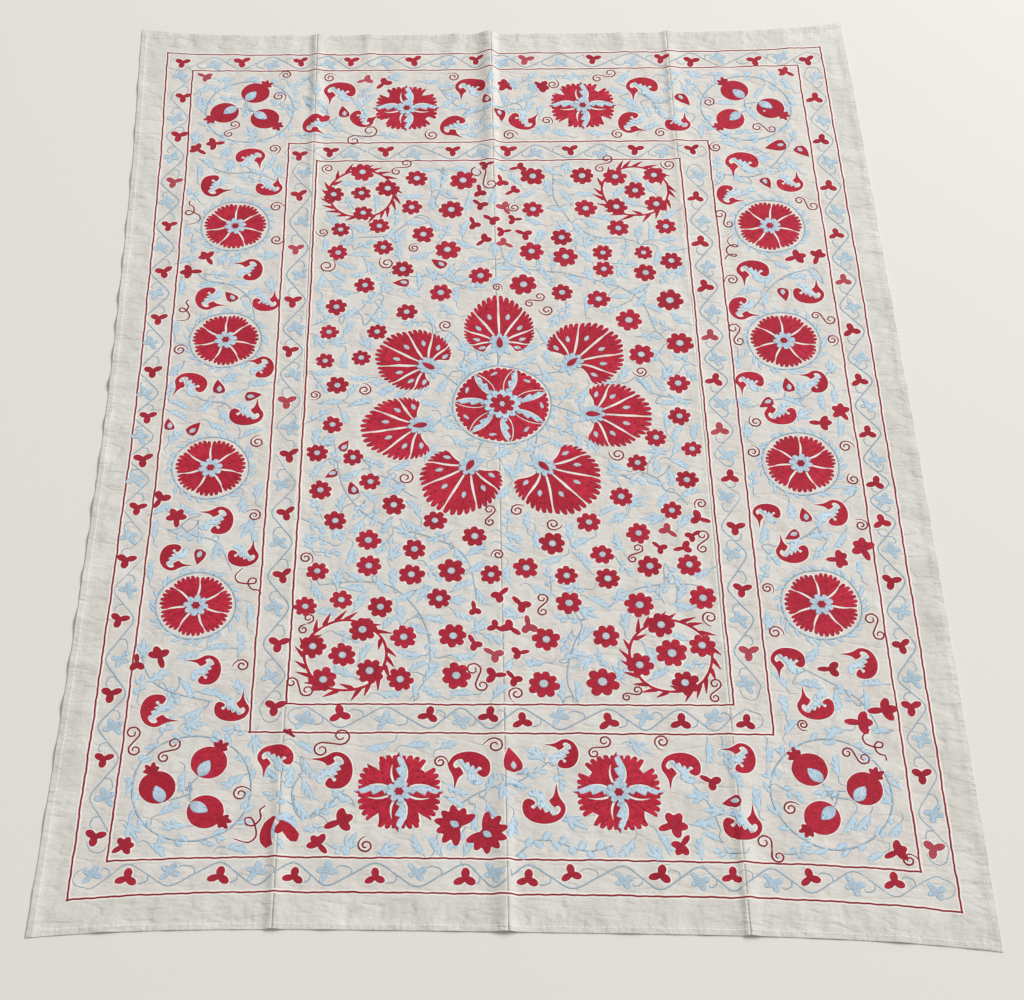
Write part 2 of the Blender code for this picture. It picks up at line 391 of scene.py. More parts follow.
def stripColumns(leftSeam, rightSeam):
    half, gap = cloth["halfWidth"], cloth["seamGap"] / 2
    if leftSeam is None:
        left = [-half + c for c in stripMesh["hemColumns"]]
    else:
        left = [leftSeam[0] + gap + c for c in stripMesh["seamColumns"]]
    if rightSeam is None:
        right = [half - c for c in stripMesh["hemColumns"]]
    else:
        right = [rightSeam[0] - gap - c for c in stripMesh["seamColumns"]]
    return sorted(set(left + right + spread(max(left), min(right), stripMesh["cell"])))


def stripRows():
    half = cloth["halfLength"]
    near = [-half + c for c in stripMesh["hemColumns"]]
    far = [half - c for c in stripMesh["hemColumns"]]
    return sorted(set(near + far + spread(max(near), min(far), stripMesh["cell"])))


def slanted(u, v, leftSeam, rightSeam, way=1):
    # the columns beside a seam run along it
    for seam, off in ((leftSeam, 1), (rightSeam, -1)):
        if seam is not None:
            beside = (u - seam[0]) * off < stripMesh["seamReach"]
            u = np.where(beside, u + way * seam[1] * v / cloth["halfLength"], u)
    return u


def laidHeight(u, v):
    # the height of the cloth as it is meshed, between its rows and columns
    rows, height = np.array(stripRows()), np.zeros_like(u)
    for leftSeam, rightSeam in zip([None] + seams, seams + [None]):
        columns = np.array(stripColumns(leftSeam, rightSeam))
        gridU, gridV = np.meshgrid(columns, rows)
        tops = clothTop(slanted(gridU, gridV, leftSeam, rightSeam), gridV)
        here = np.ones(len(u), bool)
        if leftSeam is not None:
            here &= u >= seamAt(leftSeam, v)
        if rightSeam is not None:
            here &= u < seamAt(rightSeam, v)
        along, across = v[here], slanted(u[here], v[here], leftSeam, rightSeam, -1)
        j = np.clip(np.searchsorted(rows, along) - 1, 0, len(rows) - 2)
        i = np.clip(np.searchsorted(columns, across) - 1, 0, len(columns) - 2)
        t = np.clip((along - rows[j]) / (rows[j + 1] - rows[j]), 0, 1)
        s = np.clip((across - columns[i]) / (columns[i + 1] - columns[i]), 0, 1)
        height[here] = ((tops[j, i] * (1 - s) + tops[j, i + 1] * s) * (1 - t)
                        + (tops[j + 1, i] * (1 - s) + tops[j + 1, i + 1] * s) * t)
    return height


def makeStrip(name, node, leftSeam, rightSeam, material):
    columns, rows = stripColumns(leftSeam, rightSeam), stripRows()
    bm = bmesh.new()
    flatLayer = bm.loops.layers.uv.new("flat")
    bmesh.ops.create_grid(bm, x_segments=len(columns) - 1, y_segments=len(rows) - 1, size=0.5)
    for vert in bm.verts:
        u = columns[round((vert.co.x + 0.5) * (len(columns) - 1))]
        v = rows[round((vert.co.y + 0.5) * (len(rows) - 1))]
        vert.co = (float(slanted(u, v, leftSeam, rightSeam)), v, 1)
    under = bmesh.ops.extrude_face_region(bm, geom=list(bm.faces), use_keep_orig=True)
    for vert in (g for g in under["geom"] if isinstance(g, bmesh.types.BMVert)):
        vert.co.z = 0
    for face in bm.faces:
        for loop in face.loops:
            loop[flatLayer].uv = loop.vert.co.xy
    bmesh.ops.recalc_face_normals(bm, faces=list(bm.faces))
    mesh = bpy.data.meshes.new(name)
    bm.to_mesh(mesh)
    bm.free()
    co = meshCoords(mesh)
    u, v, top = co[:, 0], co[:, 1], co[:, 2] > 0.5
    x, w = lay(u, v)
    height = np.where(top, clothTop(u, v), foldHeight(u, v) + dentHeight(u, v))
    setCoords(mesh, np.column_stack((x, fanned(x, w), height)))
    mesh.shade_smooth()
    strip = addPiece(name, mesh, material)
    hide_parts(node)
    return strip


groundLinen = linenMaterial()
strips = [
    makeStrip("groundStripLeft", "strip_left", None, seams[0], groundLinen),
    makeStrip("groundStripMiddleLeft", "strip_middle_left", seams[0], seams[1], groundLinen),
    makeStrip("groundStripMiddleRight", "strip_middle_right", seams[1], seams[2], groundLinen),
    makeStrip("groundStripRight", "strip_right", seams[2], None, groundLinen)]
print("ground cloth:", sum(len(s.data.polygons) for s in strips), "faces")

# ---- stitched patches: a closed padded shape for each motif, its rows fanning out from a hub

padding = dict(foot=-0.0003, side=0.00022, top=0.00048, shoulder=0.0009, cell=0.0150,
               redLift=0.00012, unevenness=0.00008, edging=0.44,
               seamCuts=(-0.013, -0.0085, -0.004, 0, 0.005, 0.011, 0.018))
spare = bpy.data.meshes.new("spare")


def newStitching():
    bm = bmesh.new()
    bm.verts.layers.float_color.new("stitch")
    bm.verts.layers.float_vector.new("hub")
    return bm


reds, blues = newStitching(), newStitching()
busy = []       # where motifs lie: x, y and radius
sprigLook = dict(wide=0.74, stem=0.20, rim=0.25)


def placed(point, at, turned=0.0, size=1.0, flip=False):
    x, y = point[0] * size, point[1] * size * (-1 if flip else 1)
    c, s = math.cos(turned), math.sin(turned)
    return at[0] + x * c - y * s, at[1] + x * s + y * c


def stitched(store, outline, at=(0, 0), turned=0.0, size=1.0, flip=False, hub=(0, 0), lift=0.0,
             shade=None, fade=0.0, round_=False, edged=None):
    bm = newStitching()
    stitch, hubs = bm.verts.layers.float_color["stitch"], bm.verts.layers.float_vector["hub"]
    made = bmesh.ops.create_circle(bm, cap_ends=True, radius=1, segments=len(outline))
    points = [placed(p, at, turned, size, flip) for p in outline]
    if flip:
        points.reverse()
    if edged is None:
        edged = store is reds and lift < 0.0001
    if edged:
        stroke("paleEdging", points[::2], padding["edging"], closed=True)
    lift += dice.uniform(0, padding["unevenness"]) + (padding["redLift"] if store is reds else 0)
    for vert, (x, y) in zip(made["verts"], points):
        vert.co = (x * cm, y * cm, lift + padding["foot"])
    top = bmesh.ops.extrude_face_region(bm, geom=list(bm.faces), use_keep_orig=True)["geom"]
    topFace = next(g for g in top if isinstance(g, bmesh.types.BMFace))
    for vert in topFace.verts:
        vert.co.z = lift + padding["side"]
    tone = dice.uniform(0.2, 1) if shade is None else shade
    # the first stitch channel is 1 on the sides and shoulder and 0 on the top; the material paints
    # edge shade where it is 1
    for vert in bm.verts:
        vert[stitch] = (1, tone, fade, 1)
    bmesh.ops.inset_region(bm, faces=[topFace], use_even_offset=False,
                           thickness=padding["shoulder"])
    for vert in topFace.verts:
        vert.co.z = lift + padding["top"]
        vert[stitch] = (0, tone, fade, 1)
    for axis in (0, 1):
        low, high = min(p[axis] for p in points) * cm, max(p[axis] for p in points) * cm
        cuts = []
        if high - low >= 1.8 * padding["cell"]:
            cuts = [k * padding["cell"] for k in range(math.ceil(low / padding["cell"]),
                                                       math.ceil(high / padding["cell"]))]
        if axis == 0:
            cuts += [seam[0] + off for seam in seams for off in padding["seamCuts"]
                     if low < seam[0] + off < high]
        for cut in cuts:
            plane, normal = [0, 0, 0], [0, 0, 0]
            plane[axis], normal[axis] = cut, 1
            bmesh.ops.bisect_plane(bm, geom=bm.verts[:] + bm.edges[:] + bm.faces[:],
                                   plane_co=plane, plane_no=normal, dist=1e-6)
    bmesh.ops.triangulate(bm, faces=list(bm.faces))
    hubX, hubY = placed(hub, at, turned, size, flip)
    for vert in bm.verts:
        vert[hubs] = (hubX * cm, hubY * cm, 1 if round_ else 0)
    bmesh.ops.recalc_face_normals(bm, faces=list(bm.faces))
    bm.to_mesh(spare)
    bm.free()
    store.from_mesh(spare)


def polar(radius, angle, centre=(0, 0)):
    return centre[0] + radius * math.cos(angle), centre[1] + radius * math.sin(angle)


def rosette(radius, petals, puff, start=0.0, steps=5, stretch=1.0, uneven=0.0):
    # round petals side by side; puff is a petal's own radius as a share of the whole
    points, out = [], 1 - puff
    for k in range(petals):
        size = radius * (1 + dice.uniform(-uneven, uneven))
        for s in range(steps):
            off = 2 * math.pi / petals * (s / steps - 0.5)
            reach = out * math.cos(off) + math.sqrt(max(0, puff ** 2 - (out * math.sin(off)) ** 2))
            x, y = polar(reach * size, start + 2 * math.pi * k / petals + off)
            points.append((x, y * stretch))
    return points


def petalled(petals, core, steps=40):
    # one outline of oval petals round a hub: direction in degrees, length and width
    angles = {360 * k / steps for k in range(steps)}
    for aim, length, wide in petals:
        angles |= {round((aim + a) % 360, 2) for a in (0, -8, 8)}
    points, last = [], -9
    for angle in sorted(angles):
        if angle - last < 1.5:
            continue
        reach, last = core, angle
        for aim, length, wide in petals:
            off = math.radians((angle - aim + 180) % 360 - 180)
            if abs(off) < 1.5:
                c, s = math.cos(off), math.sin(off)
                reach = max(reach, length * c / (c * c + (length / wide * s) ** 2))
        points.append(polar(reach, math.radians(angle)))
    return points


def leaf(length, width, bend=0.0, steps=7, point=0.8):
    # a leaf from its root at the hub to its tip on +x
    upper, lower = [], []
    for k in range(steps + 1):
        t = k / steps
        wide = width * (math.sin(math.pi * t ** point) ** 0.8 if 0 < t < 1 else 0) / 2
        middle_ = bend * math.sin(math.pi * t / 2) * t
        upper.append((length * t, middle_ + wide))
        lower.append((length * t, middle_ - wide))
    return lower + upper[-2:0:-1]


def splitLeaf(at, turned, length, width, flip=False):
    # a leaf half blue and half red, with a toothed line between them
    top, line, foot = [], [], []
    for k in range(17):
        t = k / 16
        full = width / 2 * (math.sin(math.pi * t ** 0.85) ** 0.7 if 0 < t < 1 else 0)
        tooth = (3.2 * t + 0.3) % 1
        top.append((length * t, full))
        line.append((length * t, full * (0.40 - 0.95 * tooth ** 0.7 if 0 < t < 1 else 0)))
        foot.append((length * t, -full))
    stitched(blues, line + top[-2:0:-1], at, turned, flip=flip, edged=False)
    stitched(reds, foot + [(x, y - 0.05) for x, y in line[-2:0:-1]], at, turned, flip=flip)


def sweep(spine, widths):
    # a shape of changing width along a line of points
    left, right = [], []
    for k, (x, y) in enumerate(spine):
        ax, ay = spine[max(0, k - 1)]
        bx, by = spine[min(len(spine) - 1, k + 1)]
        length = math.hypot(bx - ax, by - ay) or 1
        nx, ny = -(by - ay) / length, (bx - ax) / length
        wide = np.interp(k / (len(spine) - 1), np.linspace(0, 1, len(widths)), widths) / 2
        left.append((x + nx * wide, y + ny * wide))
        right.append((x - nx * wide, y - ny * wide))
    return right + left[::-1]


def wedge(inner, rim, start, end, scallops, lean=0.0, jag=0.06, gap=0.2, notch=None, swirl=0.0):
    # one petal of a round or fan-shaped flower: scalloped rim, curved sides with a gap beside them
    def sidePoint(angle, s, hand):
        outer = rim(angle) * (1 - jag)
        r = inner + (outer - inner) * s
        turned = angle * (1 - lean * (1 - s) ** 1.4) + swirl * (1 - s) * s * 4
        half = gap * (0.35 + 0.65 * math.sin(math.pi * s) ** 0.7) / 2
        return polar(r, turned + hand * half / r)
    points = []
    for k in range(scallops * 5 + 1):
        s = k / (scallops * 5)
        angle = start + (end - start) * s
        f = (s * scallops) % 1
        bump = math.sqrt(max(0, 1 - (2 * f - 1) ** 2))
        r = rim(angle) * (1 - jag + jag * bump)
        if notch and abs(s - notch[0]) < notch[1]:
            r *= 1 - notch[2] * math.cos((s - notch[0]) / notch[1] * math.pi / 2) ** 0.5
        points.append(polar(r, angle))
    points[0], points[-1] = sidePoint(start, 0.97, 1), sidePoint(end, 0.97, -1)
    points += [sidePoint(end, s, -1) for s in (0.8, 0.6, 0.4, 0.2, 0)]
    points += [sidePoint(start, s, 1) for s in (0, 0.2, 0.4, 0.6, 0.8)]
    return points


# ---- strokes: vines, tendrils and border lines, as flattened cords of thread

strokes, strandRound = {}, 0.003      # a cord of this radius keeps the full height of its kind
cordSides = dict(paleEdging=0, hemStitches=0, leafShadeRims=0, vines=0)


def smoothPath(points, step, closed=False):
    # a soft curve through the points, in centimetres
    if closed:
        ends = [points[-1]] + points + points[:2]
    else:
        ends = [points[0]] + points + [points[-1]]
    path = []
    for p0, p1, p2, p3 in zip(ends, ends[1:], ends[2:], ends[3:]):
        count = max(2, round(math.dist(p1, p2) / step))
        for k in range(count):
            t = k / count
            path.append(tuple(
                0.5 * (2 * b + (c - a) * t + (2 * a - 5 * b + 4 * c - d) * t * t
                       + (3 * b - a - 3 * c + d) * t ** 3) for a, b, c, d in zip(p0, p1, p2, p3)))
    if not closed:
        path.append(points[-1])
    return path


def stroke(kind, path, width, closed=False, profile=(1, 1)):
    # width in centimetres; the profile gives the share of it from start to end
    curve = strokes.setdefault(kind, bpy.data.curves.new(kind, "CURVE"))
    curve.dimensions, curve.bevel_depth = "3D", 1.0
    curve.bevel_resolution = cordSides.get(kind, 1)
    curve.use_fill_caps = True
    spline = curve.splines.new("POLY")
    spline.points.add(len(path) - 1)
    spline.use_cyclic_u = closed
    shares = np.interp(np.linspace(0, 1, len(path)), np.linspace(0, 1, len(profile)), profile)
    for point, (x, y), share in zip(spline.points, path, shares):
        point.co = (x * cm, y * cm, 0, 1)
        point.radius = width * cm / 2 * share


def tendril(path, width=0.35, profile=(0.6, 1, 1, 1, 0.9)):
    stroke("tendrils", path, width, profile=profile)
    stroke("paleEdging", path[::2] + [path[-1]] * (len(path) % 2 == 0), width + 0.26)


def spiral(at, radius, angle, turns=1.35, hand=1, tail=0.0):
    # a curl that winds in from its rim; the tail runs on from the rim
    path = []
    for k in range(4, 0, -1):
        s = k / 4
        x, y = polar(radius * (1 + 0.30 * s * s), angle - hand * s * tail / radius)
        path.append((at[0] + x, at[1] + y))
    count = int(12 * turns)
    for k in range(count + 1):
        s = k / count
        x, y = polar(radius * (1 - 0.74 * s ** 0.85), angle + hand * s * turns * 2 * math.pi)
        path.append((at[0] + x, at[1] + y))
    tendril(path)


# ---- finishing a thread mesh: laid on the cloth, with its rows as a UV map

def settle(mesh):
    co = meshCoords(mesh)
    x, w = co[:, 0], co[:, 1]
    u, v = layBack(x, w)
    setCoords(mesh, np.column_stack((x, fanned(x, w), laidHeight(u, v) + co[:, 2])))


def rowsMap(mesh):
    count = len(mesh.vertices)
    hub = np.empty(count * 3)
    mesh.attributes["hub"].data.foreach_get("vector", hub)
    hub = hub.reshape(-1, 3)
    off = meshCoords(mesh)[:, :2] - hub[:, :2]
    corners = np.empty(len(mesh.loops), dtype=np.int32)
    mesh.loops.foreach_get("vertex_index", corners)
    ringed = hub[corners, 2].reshape(-1, 3, 1) > 0.5
    off = off[corners].reshape(-1, 3, 2)
    reach = np.hypot(off[..., 0], off[..., 1])
    angle = np.arctan2(off[..., 1], off[..., 0])
    first = angle[:, :1]
    angle = first + (angle - first + np.pi) % (2 * np.pi) - np.pi
    rows = np.stack((angle * 0.03, reach), axis=-1)
    rows = np.where(ringed, rows[..., ::-1], rows)
    mesh.uv_layers.new(name="rows").data.foreach_set("uv", rows.astype(np.float32).ravel())
    mesh.attributes.remove(mesh.attributes["hub"])


def finishStitching(store, name, material):
    mesh = bpy.data.meshes.new(name)
    store.to_mesh(mesh)
    store.free()
    rowsMap(mesh)
    settle(mesh)
    return addPiece(name, mesh, material)


def finishStrokes(kind, tall, lift, material, smooth=True):
    source = bpy.data.objects.new(kind + "Source", strokes[kind])
    bpy.context.scene.collection.objects.link(source)
    shape = source.evaluated_get(bpy.context.evaluated_depsgraph_get())
    mesh = bpy.data.meshes.new_from_object(shape)
    mesh.name = kind
    bpy.data.objects.remove(source)
    co = meshCoords(mesh)
    co[:, 2] = np.sign(co[:, 2]) * tall * (np.abs(co[:, 2]) / strandRound) ** 0.3 + lift
    setCoords(mesh, co)
    settle(mesh)
    mesh.materials.clear()
    if smooth:
        mesh.shade_smooth()
    else:
        mesh.shade_flat()
    return addPiece(kind, mesh, material)


# ---- border lines: four rectangles sewn round the cloth

# left, right, near and far, on the flat cloth in metres; left drop, bow of the near side
borderLines = [
    (-0.7020, 0.7045, -1.0002, 0.9905, 0, 0.0100), (-0.6470, 0.6490, -0.9332, 0.9360, 0, 0.0072),
    (-0.4362, 0.4364, -0.6875, 0.7060, 0.0045, 0), (-0.3765, 0.3742, -0.6320, 0.6515, 0.0045, 0)]


lineLook = dict(wide=0.41, edging=0.86, step=0.0075, crossStep=0.0045, leftShift=0.0030,
                overrun=0.0015, wobble=0.00035)


def sewLine(left, right, near, far, leftDrop, bow):
    corners = [(left - lineLook["leftShift"], near - leftDrop), (right, near), (right, far),
               (left, far)]
    for (u0, v0), (u1, v1) in zip(corners, corners[1:] + corners[:1]):
        length = math.hypot(u1 - u0, v1 - v0)
        crosses = abs(u1 - u0) > abs(v1 - v0)
        count = round(length / lineLook["crossStep" if crosses else "step"])
        over = lineLook["overrun"] / length
        s = np.linspace(-over, 1 + over, count)
        u, v = u0 + (u1 - u0) * s, v0 + (v1 - v0) * s
        wobble = sum(lineLook["wobble"] * np.sin(s * length * f + dice.uniform(0, 6.3))
                     for f in (23, 57, 131, 300))
        if crosses:
            v = v + wobble + (bow * (1 - np.abs(u / right) ** 5) if v0 < 0 else 0)
        else:
            u = u + wobble
        x, w = lay(u, v)
        path = list(zip(x / cm, w / cm))
        stroke("borderLines", path, lineLook["wide"])
        stroke("paleEdging", path, lineLook["edging"])


for line in borderLines:
    sewLine(*line)

hemSewing = dict(inset=0.0112, apart=0.0085, long=0.0050, wide=0.11)
for side in range(4):
    lengthways = side < 2
    half = cloth["halfLength" if lengthways else "halfWidth"] - hemSewing["inset"]
    other = (cloth["halfWidth" if lengthways else "halfLength"] - hemSewing["inset"]) * (-1) ** side
    for s in np.arange(-half, half - hemSewing["long"], hemSewing["apart"]):
        ends = np.array((s, s + hemSewing["long"]))
        offs = np.full(2, other) + dice.uniform(-0.0004, 0.0004)
        x, w = lay(*((offs, ends) if lengthways else (ends, offs)))
        stroke("hemStitches", list(zip(x / cm, w / cm)), hemSewing["wide"])

# ---- guard bands: small trefoils in a waving vine, red and blue in turn

outerGuard = dict(
    far=dict(at=94.8, first=-1, red=[-67.1, -54.5, -41.9, -31.0, -17.9, -4.3, 6.2, 20.7, 35.7,
                                     41.9, 55.7, 67.3],
             blue=[-60.3, -47.9, -36.0, -24.0, -10.3, 1.2, 13.6, 29.1, 48.1, 61.6]),
    near=dict(at=-94.4, first=1, droop=1.2,
              red=[-61.4, -46.8, -35.2, -22.1, -7.9, 2.2, 9.1, 23.1, 34.7, 47.1, 60.4],
              blue=[-66.8, -54.7, -41.1, -29.8, -15.5, -3.3, 17.3, 29.5, 41.0, 54.2, 67.1]),
    left=dict(at=-66.6, first=-1, again=-29.3, red=[84.5, 72.7, 59.3, 47.0, 34.5, 22.3, 9.2, -1.9,
                                                    -11.9, -22.9, -34.5, -46.9, -61.9, -74.3,
                                                    -88.3],
              blue=[91.1, 77.9, 66.5, 53.7, 41.0, 28.7, 16.2, 3.7, -6.7, -16.7, -29.3, -40.7, -54.9,
                    -68.1, -81.4]),
    right=dict(at=68.1, first=1, red=[82.5, 70.1, 57.0, 43.7, 31.7, 18.8, 6.7, -5.6, -17.0, -25.7,
                                      -38.0, -51.2, -63.1, -75.6, -88.6],
               blue=[89.1, 76.0, 63.9, 50.0, 37.4, 25.0, 12.1, 0.6, -11.7, -21.0, -31.5, -44.3,
                     -57.6, -69.2, -82.7]))
innerGuard = dict(
    far=dict(at=67.4, first=1, red=[-40.9, -34.8, -23.4, -9.5, 1.9, 14.7, 28.3, 40.2],
             blue=[-30.2, -17.4, -3.6, 7.8, 21.0, 34.0]),
    near=dict(at=-65.9, first=-1, red=[-28.6, -13.8, -3.6, 1.7, 16.3, 28.3, 39.3],
              blue=[-34.3, -21.0, -8.4, 8.2, 22.4, 34.0]),
    left=dict(at=-40.1, first=1, again=-4.3,
              red=[55.6, 40.7, 26.6, 14.0, 1.7, -10.8, -23.9, -37.6, -51.6, -64.0],
              blue=[61.7, 47.9, 33.7, 19.7, 8.3, -4.3, -17.6, -30.5, -44.2, -58.0]),
    right=dict(at=40.5, first=1, again=-10.7,
               red=[54.2, 41.8, 30.2, 17.6, 6.7, -5.1, -15.9, -26.8, -39.9, -52.6],
               blue=[60.4, 47.6, 35.4, 23.8, 11.9, 1.2, -10.7, -20.1, -32.6, -46.1, -59.0]))
guardLook = dict(sway=1.98, vine=0.25, aside=0.50)
redTrefoil = petalled([(88, 1.88, 1.42), (207, 2.05, 1.28), (333, 1.85, 1.42)], 0.62, 32)
blueTrefoil = petalled([(75, 1.80, 1.18), (165, 1.70, 1.08), (235, 2.20, 0.98), (350, 1.78, 1.18)],
                       0.60, 32)
# past the last trefoil
vineEnd = [(1.0, 1.75), (2.4, 1.30), (3.0, 0.20), (2.4, -1.10), (1.0, -1.70)]


def guardBand(side, band):
    # the vine swings past the trefoils, now outside and now inside, with a short hook to each
    across = side in ("left", "right")
    outward = -1 if side in ("left", "near") else 1
    stops = sorted([(s, "red") for s in band["red"]] + [(s, "blue") for s in band["blue"]])

    def spot(along, off):
        middle_ = band["at"] + outward * off - band.get("droop", 0) * abs(along / 68) ** 5
        return (middle_, along) if across else (along, middle_)

    swing, last = -band["first"], None
    vine = [spot(stops[0][0] - a, -o * swing) for a, o in vineEnd[::-1]]
    for k, (along, colour) in enumerate(stops):
        if along == band.get("again"):      # the vine breaks off and keeps to the same side
            stroke("vines", smoothPath(vine, 0.7), guardLook["vine"], profile=(0.6, 1, 1, 0.5))
            vine = []
        else:
            swing = -swing
        if last is not None:
            vine.append(spot((last + along) / 2, 0))
        vine.append(spot(along, swing * guardLook["sway"]))
        last = along
        at = spot(along + dice.uniform(-0.15, 0.15), -guardLook["aside"] * swing)
        busy.append((*at, 2.0))
        turned = dice.uniform(-0.25, 0.25)
        if side in ("left", "far") or side == "right" and along < -26:
            turned += math.pi
        if colour == "red":
            fade = 0.55 if dice.random() < 0.12 else 0.0
            stitched(reds, redTrefoil, at, turned, dice.uniform(0.90, 1.02), fade=fade)
        else:
            stitched(blues, blueTrefoil, at, turned, dice.uniform(0.92, 1.05), dice.random() < 0.5)
        hand = -1 if side == "far" or side == "right" and along > -27 else 1
        if 0 <= k + hand < len(stops):
            cross = (stops[k + hand][0] + along) / 2
            hook = [(cross, -0.1), (cross - 0.1 * hand, -1.05),
                    ((cross + along) / 2 + 0.2 * hand, -1.5), (along + 1.35 * hand, -1.0)]
            stroke("vines", smoothPath([spot(a, o * swing) for a, o in hook], 0.5),
                   guardLook["vine"] * 0.85, profile=(0.8, 1, 0.6))
    vine += [spot(last + a, o * swing) for a, o in vineEnd]
    stroke("vines", smoothPath(vine, 0.7), guardLook["vine"], profile=(0.6, 1, 1, 1, 0.6))


for guard in (outerGuard, innerGuard):
    for side, band in guard.items():
        guardBand(side, band)
print("guard bands stitched")

# ---- small round flowers of the field

flowerLook = dict(petals=8, puff=0.284, eye=0.30)
flowers = [     # x, y, radius
    (-16.8, 59.9, 2.2), (-7.4, 59.2, 2.5), (-17.8, 51.7, 2.0), (-9.8, 51.0, 2.3),
    (-31.9, 45.7, 1.9), (-24.2, 46.6, 1.9), (-15.4, 44.3, 2.2), (-32.2, 39.4, 2.0),
    (-23.3, 40.8, 1.9), (-10.6, 40.1, 2.4), (-19.4, 34.9, 2.1), (-4.1, 33.1, 2.2),
    (-26.7, 30.7, 2.0), (-11.9, 28.7, 2.2), (-32.1, 25.1, 2.0), (-18.5, 23.8, 2.0),
    (-33.3, 18.7, 1.8), (-24.1, 18.8, 1.9), (-27.0, 12.3, 1.9), (-33.8, 11.5, 1.8),
    (6.9, 60.3, 2.4), (17.0, 60.3, 2.4), (6.7, 51.0, 2.1), (17.4, 51.2, 2.2), (23.7, 45.7, 2.1),
    (33.3, 46.1, 2.1), (12.2, 43.2, 2.0), (6.1, 39.5, 2.2), (12.8, 38.1, 2.3), (20.3, 39.1, 1.9),
    (28.4, 39.1, 1.8), (20.3, 34.8, 2.0), (33.8, 36.9, 2.1), (28.5, 33.8, 2.2), (4.3, 30.8, 2.5),
    (11.8, 28.7, 2.1), (18.9, 27.0, 2.2), (32.8, 26.6, 2.6), (24.5, 21.6, 2.5), (34.0, 15.8, 2.5),
    (26.4, 13.0, 2.3), (-31.3, 5.5, 2.0), (-31.9, -3.9, 1.9), (-34.5, -10.5, 1.9),
    (-27.9, -11.5, 1.8), (-33.6, -18.9, 2.0), (-24.6, -17.0, 1.9), (-20.3, -22.2, 2.1),
    (-30.7, -25.7, 2.0), (-12.9, -25.6, 2.0), (-24.7, -29.9, 2.2), (-5.8, -29.0, 2.2),
    (-16.5, -31.8, 2.1), (-24.5, -35.4, 2.1), (-33.5, -36.6, 1.9), (-10.0, -36.4, 2.3),
    (-17.0, -37.2, 2.1), (-3.0, -37.2, 1.9), (3.2, -35.7, 2.1), (33.0, 6.0, 2.2),
    (32.7, -1.8, 2.0), (28.0, -6.8, 1.9), (34.5, -9.4, 1.8), (24.2, -12.6, 1.9),
    (33.0, -16.4, 2.0), (20.8, -20.2, 2.1), (29.8, -23.2, 1.9), (14.7, -25.9, 2.0),
    (23.5, -28.2, 2.0), (8.0, -30.5, 2.2), (16.8, -32.8, 2.0), (25.1, -35.2, 2.2),
    (32.1, -34.9, 2.1), (10.3, -37.3, 2.0), (17.5, -37.9, 2.2), (-35.3, -44.0, 1.9),
    (-29.1, -42.6, 2.0), (-22.3, -44.0, 2.1), (-12.1, -42.2, 2.0), (-18.2, -50.1, 2.2),
    (-9.7, -49.8, 2.3), (-18.7, -58.5, 2.2), (-9.2, -57.7, 2.4), (10.5, -43.0, 2.3),
    (22.8, -43.3, 2.4), (34.0, -41.8, 2.3), (16.6, -49.7, 2.3), (6.3, -50.4, 2.3),
    (15.6, -58.7, 2.7), (5.6, -59.2, 2.6)]
wreaths = [     # middle, radius of the ring, and its five flowers
    ((-28.0, 55.7), 6.6, [(-28.0, 55.8, 1.9), (-27.9, 61.8, 2.3), (-22.7, 57.1, 2.3),
                          (-33.6, 55.4, 2.1), (-27.5, 50.2, 2.0)]),
    ((27.7, 56.0), 6.8, [(27.7, 56.1, 2.1), (23.8, 60.0, 2.2), (31.8, 60.4, 2.2), (23.6, 51.6, 2.2),
                         (31.8, 52.3, 2.2)]),
    ((-28.1, -53.8), 7.0, [(-28.6, -53.8, 2.2), (-25.3, -48.7, 2.4), (-33.7, -52.1, 2.2),
                           (-23.9, -56.9, 2.3), (-31.7, -58.7, 2.3)]),
    ((27.6, -53.5), 7.1, [(27.8, -53.0, 2.6), (26.3, -47.3, 2.3), (33.1, -51.4, 2.3),
                          (22.1, -55.4, 2.3), (29.6, -58.8, 2.3)])]
thorns = dict(count=23, long=3.1, wide=0.80, ring=0.58)


def smallFlower(x, y, radius):
    busy.append((x, y, radius))
    petals = flowerLook["petals"] - (dice.random() < 0.6)
    outline = rosette(radius * dice.uniform(1.03, 1.11), petals,
                      flowerLook["puff"] + 0.03 * (8 - petals), dice.uniform(0, 1), uneven=0.07)
    stitched(reds, outline, (x, y))
    eye = petalled([], radius * flowerLook["eye"], 12)
    stitched(blues, eye, (x, y), lift=0.0006, shade=1.0, fade=0.85)


def ringBusy(x, y, radius, reach):
    busy.extend((*polar(radius, math.radians(a), (x, y)), reach) for a in range(0, 360, 12))


for flower in flowers:
    smallFlower(*flower)
for (ringX, ringY), ringRadius, members in wreaths:
    ringBusy(ringX, ringY, ringRadius, 1.0)
    ringPath = [polar(ringRadius * (1 + 0.012 * math.sin(5 * a)), a, (ringX, ringY))
                for a in np.linspace(0, 2 * math.pi, 72, endpoint=False)]
    stroke("thornRings", ringPath, thorns["ring"], closed=True)
    stroke("paleEdging", ringPath[::2], thorns["ring"] + 0.36, closed=True)
    for k in range(thorns["count"]):
        angle = -2 * math.pi * (k + dice.uniform(-0.2, 0.2)) / thorns["count"]
        root = polar(ringRadius - 0.15, angle, (ringX, ringY))
        inner = k % 8 == 5
        stitched(reds, leaf(thorns["long"] * dice.uniform(0.85, 1.15) * (0.8 if inner else 1),
                            thorns["wide"], -0.35 if inner else 0.35, 5, 0.6),
                 root, angle - math.pi / 2 + (-0.50 if inner else 0.42))
    for flower in members:
        smallFlower(*flower)
print("flowers stitched")

# ---- round medallions of the side borders, with a ring of blue leaves

